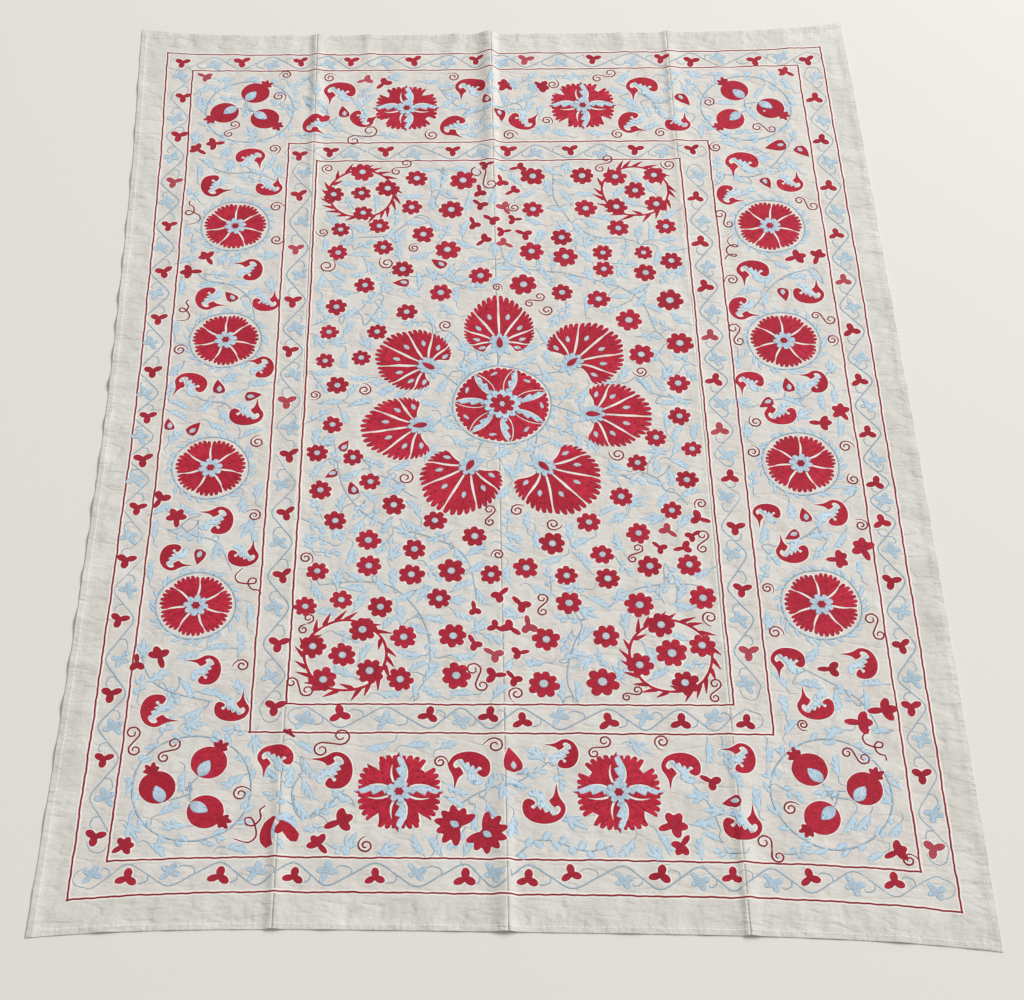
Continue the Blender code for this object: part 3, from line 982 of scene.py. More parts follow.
rosettes = [(-52.9, 46.8, 6.1), (-52.9, 16.8, 6.2), (-53.7, -13.9, 6.3), (-54.2, -43.9, 6.2),
            (54.4, 46.2, 6.4), (54.2, 16.4, 6.4), (54.3, -12.7, 6.4), (54.7, -43.0, 6.4)]
rosetteLook = dict(size=1.025, petals=7, inner=1.5, scallops=6, gap=0.27, heart=2.2, dot=0.85,
                   ring=1.085, leaves=24)


def leafAt(root, aim, long, wide, bend, profile=(0.35, 0.95, 1, 0.7, 0.15)):
    # one leaf as a soft stroke over a slightly wider, darker one, painted shade along the raised
    # leaf edge
    path = [placed((long * t, bend * long * t * t), root, aim) for t in (0, 0.27, 0.68, 1)]
    wide *= dice.uniform(0.88, 1.12)
    stroke("leaves", path, wide, profile=profile)
    stroke("leafShadeRims", path, wide + sprigLook["rim"], profile=profile)


ringLook = dict(vine=0.30, wave=0.01, stray=0.25, slant=(0.55, 0.95), long=(0.70, 1.25), wide=0.30,
                insideWide=0.06, bend=0.22, profile=(0.3, 0.8, 1, 0.8, 0.2))


def leafRing(x, y, radius, count, size, inside=0):
    path = [polar(radius * (1 + ringLook["wave"] * math.sin(4 * a + x)), a, (x, y))
            for a in np.linspace(0, 2 * math.pi, 60, endpoint=False)]
    stroke("vines", path, ringLook["vine"], closed=True)
    hand = dice.choice((-1, 1))
    for k in range(count):
        angle = 2 * math.pi * (k + dice.uniform(-ringLook["stray"], ringLook["stray"])) / count
        root = polar(radius, angle, (x, y))
        aim = angle + hand * (math.pi / 2 - dice.uniform(*ringLook["slant"]))
        if inside and k % 3 == 0:
            aim += math.pi
        long = size * dice.uniform(*ringLook["long"])
        wide = size * (ringLook["wide"] + ringLook["insideWide"] * inside)
        leafAt(root, aim, long, wide * dice.uniform(0.85, 1.2), ringLook["bend"] * hand,
               ringLook["profile"])
        if inside and k % 2:
            fork = placed((long * 0.35, 0), root, aim)
            leafAt(fork, aim + 0.85 * dice.choice((-1, 1)), long * 0.55, size * 0.26, 0.1,
                   (0.6, 1, 0.9, 0.2))


for x, y, radius in rosettes:
    radius *= rosetteLook["size"]
    busy.append((x, y, radius * 1.32))
    start, step = math.pi / 2 + dice.uniform(-0.12, 0.12), 2 * math.pi / rosetteLook["petals"]
    ribs = [start + step * k + dice.uniform(-0.07, 0.07) for k in range(rosetteLook["petals"])]
    ribs.append(ribs[0] + 2 * math.pi)
    swirl = dice.choice((-1, 1)) * 0.06
    for a, b in zip(ribs, ribs[1:]):
        half = (b - a) / 2
        petal = wedge(rosetteLook["inner"], lambda angle: radius * (1 - 0.10 * (angle / half) ** 4),
                      -half, half, rosetteLook["scallops"], lean=0.10, jag=0.125,
                      gap=rosetteLook["gap"], swirl=swirl)
        stitched(reds, petal, (x, y), (a + b) / 2)
    stitched(blues, rosette(rosetteLook["heart"], 8, 0.27, dice.random()), (x, y), lift=0.0004)
    stitched(reds, rosette(rosetteLook["dot"], 6, 0.4, steps=2), (x, y), lift=0.0006)
    leafRing(x, y, radius * rosetteLook["ring"], rosetteLook["leaves"], 1.9)

# ---- quartered medallions of the far and near borders

quartered = [(-19.1, 80.6, 6.9), (18.0, 81.0, 7.1), (-18.6, -79.7, 7.2), (17.3, -79.4, 7.3)]
quarterLook = dict(inner=1.3, half=0.765, scallops=9, jag=0.125, gap=2.9, notch=(0.42, 0.62),
                   leafFrom=1.2, leafWide=2.35, heart=2.1, dot=0.85)
for x, y, radius in quartered:
    busy.append((x, y, radius * 1.05))
    for k in range(4):
        a = math.pi / 2 * k
        quarter = wedge(quarterLook["inner"],
                        lambda angle: radius * (1.02 - 0.09 * (angle / 0.7) ** 2),
                        -quarterLook["half"], quarterLook["half"], quarterLook["scallops"],
                        jag=quarterLook["jag"], gap=quarterLook["gap"],
                        notch=(dice.uniform(*quarterLook["notch"]), 0.075, 0.26))
        stitched(reds, quarter, (x, y), a + math.pi / 4)
        splitLeaf(polar(quarterLook["leafFrom"], a, (x, y)), a,
                  radius * 1.02 - quarterLook["leafFrom"], quarterLook["leafWide"],
                  flip=k in (1, 2))
    stitched(blues, rosette(quarterLook["heart"], 8, 0.27, 0.2), (x, y), lift=0.0008)
    stitched(reds, rosette(quarterLook["dot"], 6, 0.4, steps=2), (x, y), lift=0.0010)

# ---- the middle medallion

middle = dict(at=(-0.4, 0.9), radius=8.8, spokes=7, first=1.27, heart=3.5, flower=2.45, ring=9.3)
busy.append((*middle["at"], middle["ring"] + 0.8))
for k in range(middle["spokes"]):
    step = 2 * math.pi / middle["spokes"]
    a = middle["first"] + step * k
    petal = wedge(2.8, lambda angle: middle["radius"], -step / 2 + 0.01, step / 2 - 0.01, 6,
                  jag=0.055, gap=2.3)
    stitched(reds, petal, middle["at"], a + step / 2)
    splitLeaf(polar(2.6, a, middle["at"]), a, 6.3, 2.0, flip=k % 2 == 0)
    stitched(blues, leaf(1.5, 0.75, 0.5, 6), polar(7.5, a + step * 0.44, middle["at"]), a + 1.9,
             lift=0.0006, shade=1.0, fade=1.0)
stitched(blues, rosette(middle["heart"], 13, 0.17, 0.1, 5), middle["at"], lift=0.0008)
stitched(reds, rosette(middle["flower"], 8, 0.27, 0.2), middle["at"], lift=0.0010)
stitched(blues, rosette(0.6, 6, 0.35, steps=2, stretch=1.3), middle["at"], lift=0.0016, shade=1.0,
         fade=0.9)
leafRing(*middle["at"], middle["ring"], 26, 1.7)

# ---- seven fan palmettes round it

palmettes = [   # foot, direction, reach, reach at the left and right side, spread, roundness
    (-0.6, 15.1, 91, 13.5, 3.6, 3.6, 114, 0.92), (12.6, 10.6, 46, 12.3, 5.7, 6.9, 93, 1.4),
    (15.8, -1.3, -3, 12.2, 6.0, 6.1, 92, 1.4), (6.5, -12.9, -48, 12.9, 6.4, 6.6, 94, 1.5),
    (-6.2, -12.6, 243, 12.8, 5.6, 5.6, 95, 1.3), (-15.0, -3.9, 190, 12.2, 6.3, 5.7, 92, 1.3),
    (-13.6, 9.8, 148, 11.7, 4.2, 4.0, 118, 1.45)]
fanLook = dict(petal=31, inner=1.8, gap=0.47, scallops=5, jag=0.115, cup=2.05, seedLong=1.6,
               seedWide=0.86)
for x, y, aim, reach, leftReach, rightReach, spreadOut, roundness in palmettes:
    turned, spreadOut = math.radians(aim), math.radians(spreadOut)
    busy.append((*polar(reach * 0.5, turned, (x, y)), reach * 0.60))
    busy.append((x, y, 2.8))

    def fanRim(angle):
        side = leftReach if angle > 0 else rightReach
        return reach - (reach - side) * (abs(angle) / spreadOut) ** roundness
    count = 2 * round(math.degrees(spreadOut) / fanLook["petal"])
    cuts = [spreadOut * (-1 + 2 * k / count) for k in range(count + 1)]
    for a, b in zip(cuts, cuts[1:]):
        half = (a + b) / 2
        petal = wedge(fanLook["inner"],
                      lambda angle: fanRim(angle) * (1 - 0.30 * (angle - half) ** 2 / (b - a)),
                      a, b, fanLook["scallops"], lean=0.30, jag=fanLook["jag"], gap=fanLook["gap"])
        stitched(reds, petal, (x, y), turned)
        seedAt = polar(fanRim(half) * 0.55, half * 0.97)
        stitched(blues, leaf(fanLook["seedLong"], fanLook["seedWide"], 0, 6, 0.8),
                 placed(seedAt, (x, y), turned), turned + half, lift=0.0006, shade=1.0, fade=0.9)
    stitched(blues, rosette(fanLook["cup"], 8, 0.27, turned), polar(1.0, turned, (x, y)),
             lift=0.0006)
    for side in (-1, 0, 1):
        stitched(blues, leaf(2.9, 1.3, 0.3 * side, 6, 0.9), (x, y), turned + math.pi + 0.70 * side,
                 lift=0.0003)
    stitched(reds, leaf(2.9, 1.25, 0, 7, 0.8), placed((-0.7, 0), (x, y), turned), turned,
             lift=0.0010)
    stroke("vines", smoothPath([polar(-2.2, turned, (x, y)),
                                polar(middle["ring"], turned + 0.05, middle["at"])], 0.6), 0.26)
print("medallions and palmettes stitched")

# ---- pomegranates in leafy circles at the corners

# middle of the circle and its radius; then each fruit with its crown's direction
pomegranates = [
    ((-51.9, 79.9), 9.2, [(-51.0, 85.5, 50), (-57.1, 79.6, 215), (-48.6, 77.7, -40)]),
    ((52.6, 79.9), 9.5, [(50.6, 85.1, 130), (57.8, 79.7, -40), (49.0, 76.5, 220)]),
    ((-52.3, -79.4), 9.7, [(-49.8, -74.7, 60), (-57.9, -79.4, 110), (-49.8, -83.7, -30)]),
    ((52.2, -79.2), 9.9, [(49.1, -74.9, 130), (57.8, -78.3, 50), (50.2, -83.6, 220)])]
for centre, ringRadius, fruits in pomegranates:
    ringBusy(*centre, ringRadius, 1.1)
    leafRing(*centre, ringRadius, 28, 2.1, inside=1)
    for x, y, crown in fruits:
        busy.append((x, y, 3.3))
        turned = math.radians(crown)
        fruit = [(px * dice.uniform(0.99, 1.01), py) for px, py in petalled([], 3.0, 30)]
        stitched(reds, fruit, (x, y), round_=True)
        points = petalled([(-62, 1.5, 0.8), (-22, 2.0, 0.9), (22, 1.9, 0.9), (62, 1.6, 0.8)], 0.7,
                          36)
        stitched(reds, points, polar(2.9, turned, (x, y)), turned)
        busy.append((*polar(4.0, turned, (x, y)), 1.2))
        stitched(blues, leaf(3.4, 2.1, 0.15, 9, 0.85), polar(-3.0, turned, (x, y)), turned,
                 lift=0.0006)
        stroke("vines", smoothPath([polar(-2.8, turned, (x, y)),
                                    polar(1.2, turned + 2.5, centre), centre], 0.5), 0.24)

# ---- paisleys: a curled red body with a blue comb in its hollow

paisleys = [    # x, y, direction of the opening, side of the tail (1 left, -1 right), length
    (-51.0, 66.8, -85, 1, 6.1), (-38.6, 76.0, -25, -1, 5.8), (-33.3, 86.3, -90, -1, 6.8),
    (-28.6, 77.2, 45, -1, 5.6), (-5.7, 87.2, -90, -1, 6.5), (-9.7, 75.4, -35, -1, 6.3),
    (5.0, 76.1, 60, -1, 6.1), (30.9, 87.0, -90, -1, 6.9), (27.4, 75.8, -10, -1, 6.3),
    (37.8, 74.8, 90, -1, 5.5), (50.3, 64.4, -90, -1, 7.0), (-58.4, 58.0, 10, -1, 6.2),
    (-46.7, 57.1, 90, -1, 5.5), (-48.8, 35.0, 180, -1, 5.8), (-57.4, 27.4, 0, -1, 5.9),
    (-45.7, 25.9, 90, -1, 5.3), (-58.6, 6.4, 250, -1, 6.3), (-45.2, 10.0, 180, -1, 5.3),
    (-47.9, -1.9, 90, -1, 6.4), (-50.9, -25.7, 180, -1, 6.1), (-59.3, -33.8, 0, -1, 5.7),
    (-46.6, -33.8, 90, -1, 5.5), (46.2, 54.7, 0, -1, 5.5), (59.7, 57.4, 90, -1, 5.6),
    (49.8, 34.7, -90, -1, 6.6), (60.3, 27.8, 90, -1, 6.2), (46.2, 24.5, 0, -1, 5.8),
    (46.6, 6.9, -90, -1, 5.5), (59.7, 6.4, 180, -1, 5.4), (51.7, -1.7, 90, 1, 6.1),
    (46.9, -23.4, -90, -1, 5.1), (59.7, -23.6, 180, -1, 5.8), (50.7, -32.4, 90, 1, 5.9),
    (-39.0, -73.3, -90, -1, 6.0), (-28.6, -75.9, 180, -1, 6.9), (-7.1, -74.6, -95, -1, 7.0),
    (9.1, -72.4, 180, -1, 5.5), (5.0, -82.8, 90, -1, 7.1), (27.8, -74.3, -90, -1, 6.6),
    (38.4, -73.0, 180, -1, 5.6), (37.1, -85.6, 90, -1, 6.4), (-51.0, -56.9, 180, -1, 5.9),
    (-59.7, -65.0, 0, -1, 6.4), (-46.7, -64.9, 90, -1, 5.9), (47.6, -53.8, -90, -1, 6.0),
    (60.9, -54.7, 180, -1, 6.1), (51.4, -63.5, 90, 1, 6.3)]


# opening to +x: the head, round the back to the pointed tail, its curl, the teeth
paisleyBody = smoothPath([
    (0.26, 0.26), (0.30, 0.36), (0.24, 0.46), (0.08, 0.50), (-0.12, 0.46), (-0.27, 0.31),
    (-0.34, 0.08), (-0.32, -0.16), (-0.21, -0.37), (-0.03, -0.48), (0.14, -0.48), (0.29, -0.39),
    (0.44, -0.33), (0.68, -0.30), (0.46, -0.25), (0.34, -0.20), (0.26, -0.12), (0.16, -0.16),
    (0.08, -0.24), (0.13, -0.32), (0.04, -0.38), (-0.08, -0.32), (-0.13, -0.18), (-0.02, -0.11),
    (-0.07, -0.02), (0.06, 0.03), (0.00, 0.10), (0.12, 0.15), (0.03, 0.24), (0.10, 0.31),
    (0.14, 0.23), (0.20, 0.20)],
    0.06, closed=True)
paisleyComb = smoothPath([    # the blue leaf in its hollow, toothed towards the body
    (-0.09, -0.28), (0.02, -0.17), (0.14, -0.10), (0.22, -0.02), (0.34, -0.03), (0.46, 0.06),
    (0.52, 0.18), (0.50, 0.30), (0.42, 0.37), (0.35, 0.30), (0.32, 0.19), (0.22, 0.15),
    (0.06, 0.23), (0.14, 0.10), (0.02, 0.10), (0.08, -0.01), (-0.04, -0.02), (0.01, -0.10),
    (-0.10, -0.15)], 0.07, closed=True)
for x, y, aim, tail, size in paisleys:
    busy.append((x, y, size * 0.50))
    turned, flip = math.radians(aim), tail > 0
    stitched(reds, paisleyBody, (x, y), turned, size, flip, hub=(0.15, 0), round_=True)
    stitched(blues, paisleyComb, (x, y), turned, size, flip, hub=(-0.6, 0))
# one that was cut at the seam when the strips were joined
busy.append((-37.3, -87.0, 3.4))
cutPaisley = [      # line through each piece and its widths along it
    (reds, [(-38.6, -84.5), (-39.5, -85.9), (-39.9, -87.4), (-39.8, -88.7), (-39.2, -89.8)],
     (0.5, 1.5, 1.8, 1.9, 1.2)),
    (blues, [(-38.6, -85.7), (-38.8, -87.0), (-38.6, -88.4)], (0.3, 0.9, 0.4)),
    (reds, [(-38.2, -87.5), (-37.7, -86.7), (-37.0, -86.3), (-36.2, -86.9), (-35.5, -87.9),
            (-35.4, -88.8)],
     (0.8, 1.5, 1.9, 2.0, 2.1, 1.0)),
    (reds, [(-37.3, -86.2), (-37.4, -85.2)], (1.2, 0.7)),
    (blues, [(-38.0, -85.3), (-37.0, -84.5), (-35.8, -85.2), (-35.2, -86.4)], (1.3, 1.6, 1.4, 0.7)),
    (blues, [(-37.8, -88.6), (-37.3, -89.5), (-36.9, -90.5)], (0.8, 0.8, 0.2)),
    (reds, [(-37.0, 76.8), (-36.2, 77.3), (-35.5, 78.4)], (1.0, 1.6, 1.2))]
for store, line, widths in cutPaisley:
    stitched(store, sweep(smoothPath(line, 0.5), widths), hub=(-37.5, -88.0), round_=True)
print("paisleys stitched")

# ---- drops and little flowers between them

drops = [   # x, y, direction of the tip, length
    (-32.1, 79.6, 90, 3.4), (0.4, 78.2, -90, 3.6), (-2.2, 82.7, 90, 2.8), (39.3, 82.3, -60, 4.0),
    (57.8, 68.7, 188, 4.7), (63.1, 66.8, -60, 3.8), (-52.5, 28.0, 120, 3.2),
    (-53.3, 5.2, 90, 3.4), (-46.9, 2.8, 0, 3.2), (-61.8, -3.9, 90, 2.8), (-57.2, -4.9, 45, 3.4),
    (-54.5, -33.6, -110, 3.2), (54.7, 58.0, -75, 3.2), (55.2, 28.1, -90, 3.4),
    (54.0, 5.6, 90, 3.4), (49.2, 1.4, 205, 3.2), (54.0, -24.1, 90, 3.2), (51.0, -28.4, 200, 3.0),
    (0.1, -73.7, 95, 4.6), (35.7, -80.8, 180, 3.2), (-12.2, 36.6, 135, 3.4),
    (-19.6, 31.5, 170, 3.2), (-29.4, -8.9, 50, 2.8), (-27.6, -18.5, 95, 3.0),
    (-31.8, -15.2, 200, 2.6)]
sprays = [  # x, y, petals, radius and the direction of the long petal
    (-61.9, 90.7, 4, 1.5, 150), (62.2, 90.6, 4, 1.6, -35), (-58.6, 70.4, 4, 1.7, 8),
    (-61.9, 68.6, 4, 1.7, -38), (-27.9, 89.2, 3, 1.5, 200), (-24.1, 88.2, 3, 1.7, -130),
    (-57.9, 38.3, 4, 1.7, -60), (-60.9, 34.5, 4, 1.8, 0), (-62.2, -21.0, 3, 1.7, -115),
    (-59.0, -25.0, 5, 1.8, -85), (58.8, 37.8, 4, 1.9, 200), (63.1, 38.0, 4, 1.8, 250),
    (63.1, -0.7, 5, 1.8, -60), (59.2, -3.4, 4, 1.8, 175), (63.4, -31.3, 5, 2.1, -70),
    (58.9, -33.6, 5, 1.8, 180), (-62.4, -90.0, 5, 1.6, 215), (61.6, -89.4, 4, 1.8, 205),
    (-28.1, -85.2, 4, 2.1, 205), (-31.4, -89.2, 4, 1.7, -50), (32.6, -77.3, 3, 1.6, 150),
    (25.9, -85.1, 5, 2.1, 200), (27.0, -88.7, 4, 1.7, 55), (-59.6, -54.3, 4, 1.9, -72),
    (-63.3, -55.7, 3, 1.5, 95), (54.7, -55.9, 3, 1.7, 180), (58.6, -66.1, 4, 2.1, 175),
    (62.8, -63.7, 4, 2.1, 185)]
littleSprays = [    # x and y of the small ones in the field
    (4.1, 62.8), (0.4, 58.9), (-4.0, 56.0), (2.8, 56.2), (-4.0, 52.4), (0.9, 51.5), (-5.3, 47.2),
    (-1.7, 48.1), (2.8, 48.3), (0.5, 45.0), (-3.3, 42.6), (0.8, 41.8), (4.8, 44.3), (-2.6, 63.4),
    (28.8, -27.7), (34.6, -25.0), (33.1, -28.6), (27.1, -31.2), (31.4, -31.3), (-6.0, -44.3),
    (-1.5, -41.4), (2.1, -43.3), (-2.3, -48.0), (0.2, -48.2), (3.3, -47.6), (-6.1, -51.2),
    (-2.7, -53.4), (1.6, -53.1), (-2.7, -57.6), (0.6, -58.2)]
sprays += [(x, y, 3, dice.uniform(1.3, 1.7), dice.uniform(0, 360)) for x, y in littleSprays]
# half flowers: foot, direction, reach
asters = [(-9.3, -85.6, 150, 3.6), (-4.6, -87.0, -35, 3.6)]
for x, y, aim, long in drops:
    busy.append((x, y, long * 0.5))
    turned = math.radians(aim)
    foot = polar(-long / 2, turned, (x, y))
    stitched(reds, leaf(long, long * 0.68, 0.45, 9, 0.55), foot, turned)
    stitched(blues, leaf(1.5, 0.95, 0, 6, 0.9), polar(long * 0.12, turned, foot), turned,
             lift=0.0006, shade=1.0, fade=0.8)
for x, y, petals, radius, aim in sprays:
    busy.append((x, y, radius))
    fade = dice.uniform(0.4, 0.7) if dice.random() < 0.14 else 0.0
    lobes = [(aim, radius * 1.30, radius * 0.60)]
    for k in range(petals - 1):
        side = 180 + (k - (petals - 2) / 2) * (62 if petals > 3 else 88) + dice.uniform(-8, 8)
        lobes.append((aim + side, radius * dice.uniform(1.0, 1.18),
                      radius * (0.74 if petals > 3 else 0.84)))
    stitched(reds, petalled(lobes, radius * 0.30, 36), (x, y), fade=fade)
for x, y, aim, reach in asters:
    busy.append((*polar(reach / 2, math.radians(aim), (x, y)), reach * 0.6))
    lobes = [(aim - 119 + 34 * k, reach * dice.uniform(0.90, 1.08), reach * 0.42) for k in range(8)]
    stitched(reds, petalled(lobes, 0.9, 72), (x, y))
    stitched(blues, leaf(1.7, 1.2, 0, 6, 0.9), polar(-0.5, math.radians(aim), (x, y)),
             math.radians(aim), lift=0.0006)
for x, y, aim in ((1.9, 87.3, 0), (9.3, 86.8, 180)):    # two half flowers, red with blue beside it
    busy.append((x + 0.8, y, 2.8))
    turned = math.radians(aim)
    stitched(reds, petalled([(110, 2.0, 1.4), (160, 1.9, 1.5), (230, 2.1, 1.4), (-50, 1.9, 1.0)],
                            0.9), (x, y), turned)
    stitched(blues, petalled([(60, 2.1, 1.3), (15, 2.3, 1.2), (-30, 2.0, 1.2)], 0.9),
             placed((0.8, 0.1), (x, y), turned), turned)
stitched(reds, petalled([(150, 0.8, 0.6), (40, 0.8, 0.6), (-35, 1.6, 0.5)], 0.4), (-37.2, -68.9),
         lift=0.0006)

# ---- dark red tendrils

tendrils = [    # x, y, radius, start angle, turning hand
    (-46.0, 84.4, 1.2, 40, 1), (-44.8, 91.0, 1.0, 90, -1), (-46.2, 68.7, 1.1, 0, 1),
    (-35.5, 90.0, 1.1, 120, 1), (-9.3, 89.9, 1.1, 60, -1), (-13.8, 72.5, 1.2, 200, 1),
    (-35.0, 62.9, 1.1, 200, -1), (2.4, 72.3, 1.2, 100, 1), (10.3, 76.5, 1.0, 30, 1),
    (11.9, 87.5, 1.1, 0, -1), (25.0, 72.3, 1.1, 150, 1), (34.0, 72.7, 1.1, 90, 1),
    (35.0, 63.4, 1.2, 250, 1), (44.8, 81.7, 1.2, 60, -1), (45.2, 68.3, 1.1, 180, 1),
    (-45.0, 52.1, 1.1, 90, 1), (-44.5, 43.0, 1.1, 300, -1), (-61.4, 14.3, 1.1, 100, 1),
    (-45.5, -8.0, 1.1, 180, 1), (-45.2, -24.6, 1.1, 60, -1), (45.5, 31.9, 1.1, 100, -1),
    (63.6, 16.6, 1.0, 20, 1), (46.9, -3.1, 1.1, 200, 1), (45.7, -10.1, 1.1, 0, -1),
    (63.1, -8.8, 1.1, 90, 1), (63.6, -16.3, 1.0, 180, 1), (63.8, -26.3, 1.0, 0, -1),
    (-44.3, -80.4, 1.2, 90, 1), (-2.8, -71.1, 1.4, 130, -1), (-11.9, -74.2, 1.0, 60, 1),
    (-23.8, -89.4, 1.1, 180, 1), (25.0, -70.0, 1.1, 170, -1), (45.2, -82.0, 1.1, 90, 1),
    (63.4, -90.9, 1.0, 90, 1), (-35.4, 45.0, 1.0, 250, 1), (-34.3, 35.9, 1.4, 330, -1),
    (-22.5, 36.6, 1.3, 200, 1), (-17.2, 40.6, 0.9, 180, 1), (-10.9, 20.4, 1.1, 200, -1),
    (2.9, 51.5, 1.0, 200, 1), (8.7, 24.2, 1.1, 250, 1), (-35.4, 3.2, 0.9, 0, 1),
    (-26.2, 4.4, 1.1, 0, -1), (-18.3, -16.1, 1.3, 30, -1), (1.9, -23.3, 1.1, 100, 1),
    (-35.6, -33.8, 1.0, 60, 1), (-1.7, -33.0, 0.9, 100, -1), (26.1, 8.9, 1.1, 260, 1),
    (20.7, -10.7, 1.2, 240, 1), (8.3, -26.3, 1.1, 260, -1), (35.2, -21.7, 1.0, 160, -1),
    (1.0, -61.1, 1.2, 190, -1), (34.9, -45.8, 1.2, 200, -1), (-45.5, -56.0, 1.1, 120, -1),
    (45.5, -39.7, 0.9, 60, 1), (46.0, -48.7, 1.1, 60, 1), (48.9, -66.6, 0.8, 150, -1),
    (-0.9, 30.0, 0.8, 60, 1)]
pairs = [   # two curls joined by a stem: x, y, direction, distance between the curls
    (-55.3, 74.6, 40, 2.9), (-28.3, 72.3, 10, 4.2), (-20.0, 63.0, 20, 3.0), (22.9, 89.9, 0, 3.2),
    (21.6, 63.7, 30, 3.0), (56.0, 73.9, 140, 2.9), (-62.4, -70.9, 70, 3.2),
    (-56.5, -72.6, 30, 2.9), (-29.9, -70.9, 8, 4.0), (14.5, -71.2, 20, 2.8),
    (41.4, -89.2, 100, 3.2), (57.0, -72.3, -50, 2.8), (-3.0, 59.8, 95, 4.4), (6.4, 26.7, 10, 2.6),
    (-3.0, -24.6, 60, 2.6), (34.9, -30.0, 55, 2.8), (22.7, -32.6, 35, 2.4),
    (-35.0, -47.6, 40, 2.4), (-35.7, -60.1, -60, 3.0), (-5.5, -58.0, 85, 3.4),
    (5.9, -43.4, 60, 2.6), (20.5, -61.0, 5, 2.2), (34.7, -60.3, 55, 2.6), (63.6, -47.5, 80, 3.2),
    (62.4, 52.3, -60, 2.9), (45.4, 48.1, 90, 3.0), (62.4, 22.1, -50, 2.8), (45.2, 17.9, 75, 3.2)]
loops = [   # a stem that crosses itself once: x, y, direction, length
    (-61.4, 50.7, 100, 6.5), (-41.7, -86.0, 60, 7.5), (60.4, -70.6, -62, 6.0),
    (-45.5, -39.3, -50, 6.5), (-60.9, 24.3, 80, 5.5)]
for x, y, radius, angle, hand in tendrils:
    busy.append((x, y, radius + 0.3))
    spiral((x, y), radius * 1.12, math.radians(angle), 1.3, hand, tail=dice.uniform(1.2, 2.6))
for x, y, aim, apart in pairs:
    busy.append((x, y, apart * 0.75))
    path, turned = [], math.radians(aim)
    for end in (1, -1):
        curl = []
        for k in range(15):
            s = k / 14
            a = math.radians(-100 + 420 * (1 - s))
            size = apart * (0.40 if end == 1 else 0.34)
            px, py = polar(size * (0.30 + 0.70 * s), a, (apart * 0.44, size * 0.72))
            curl.append(placed((px * end, py * end), (x, y), turned))
        path = curl if end == 1 else path + curl[::-1]
    tendril(path, profile=(0.8, 1, 1, 1, 0.8))
for x, y, aim, long in loops:
    busy.append((x, y, long * 0.4))
    shape = [(-0.50, 0.20), (-0.42, -0.10), (-0.20, -0.16), (0.02, 0.02), (0.10, 0.17),
             (0.02, 0.26), (-0.08, 0.17), (-0.02, 0.02), (0.20, -0.02), (0.36, 0.10),
             (0.50, 0.06)]
    tendril(smoothPath([placed(p, (x, y), math.radians(aim), long) for p in shape], 0.45))
coil = [(0.80 * math.cos(a) - 0.40 * a + 2.6, 1.05 * math.sin(a))
        for a in np.linspace(0.3, 4.5 * math.pi, 44)]
tendril([placed(p, (46.2, 40.2), math.radians(80)) for p in coil])
busy += [(46.2, 38.6, 1.9), (46.2, 41.8, 1.9)]
print("tendrils stitched")

# ---- blue scrolling stems and leaf sprigs

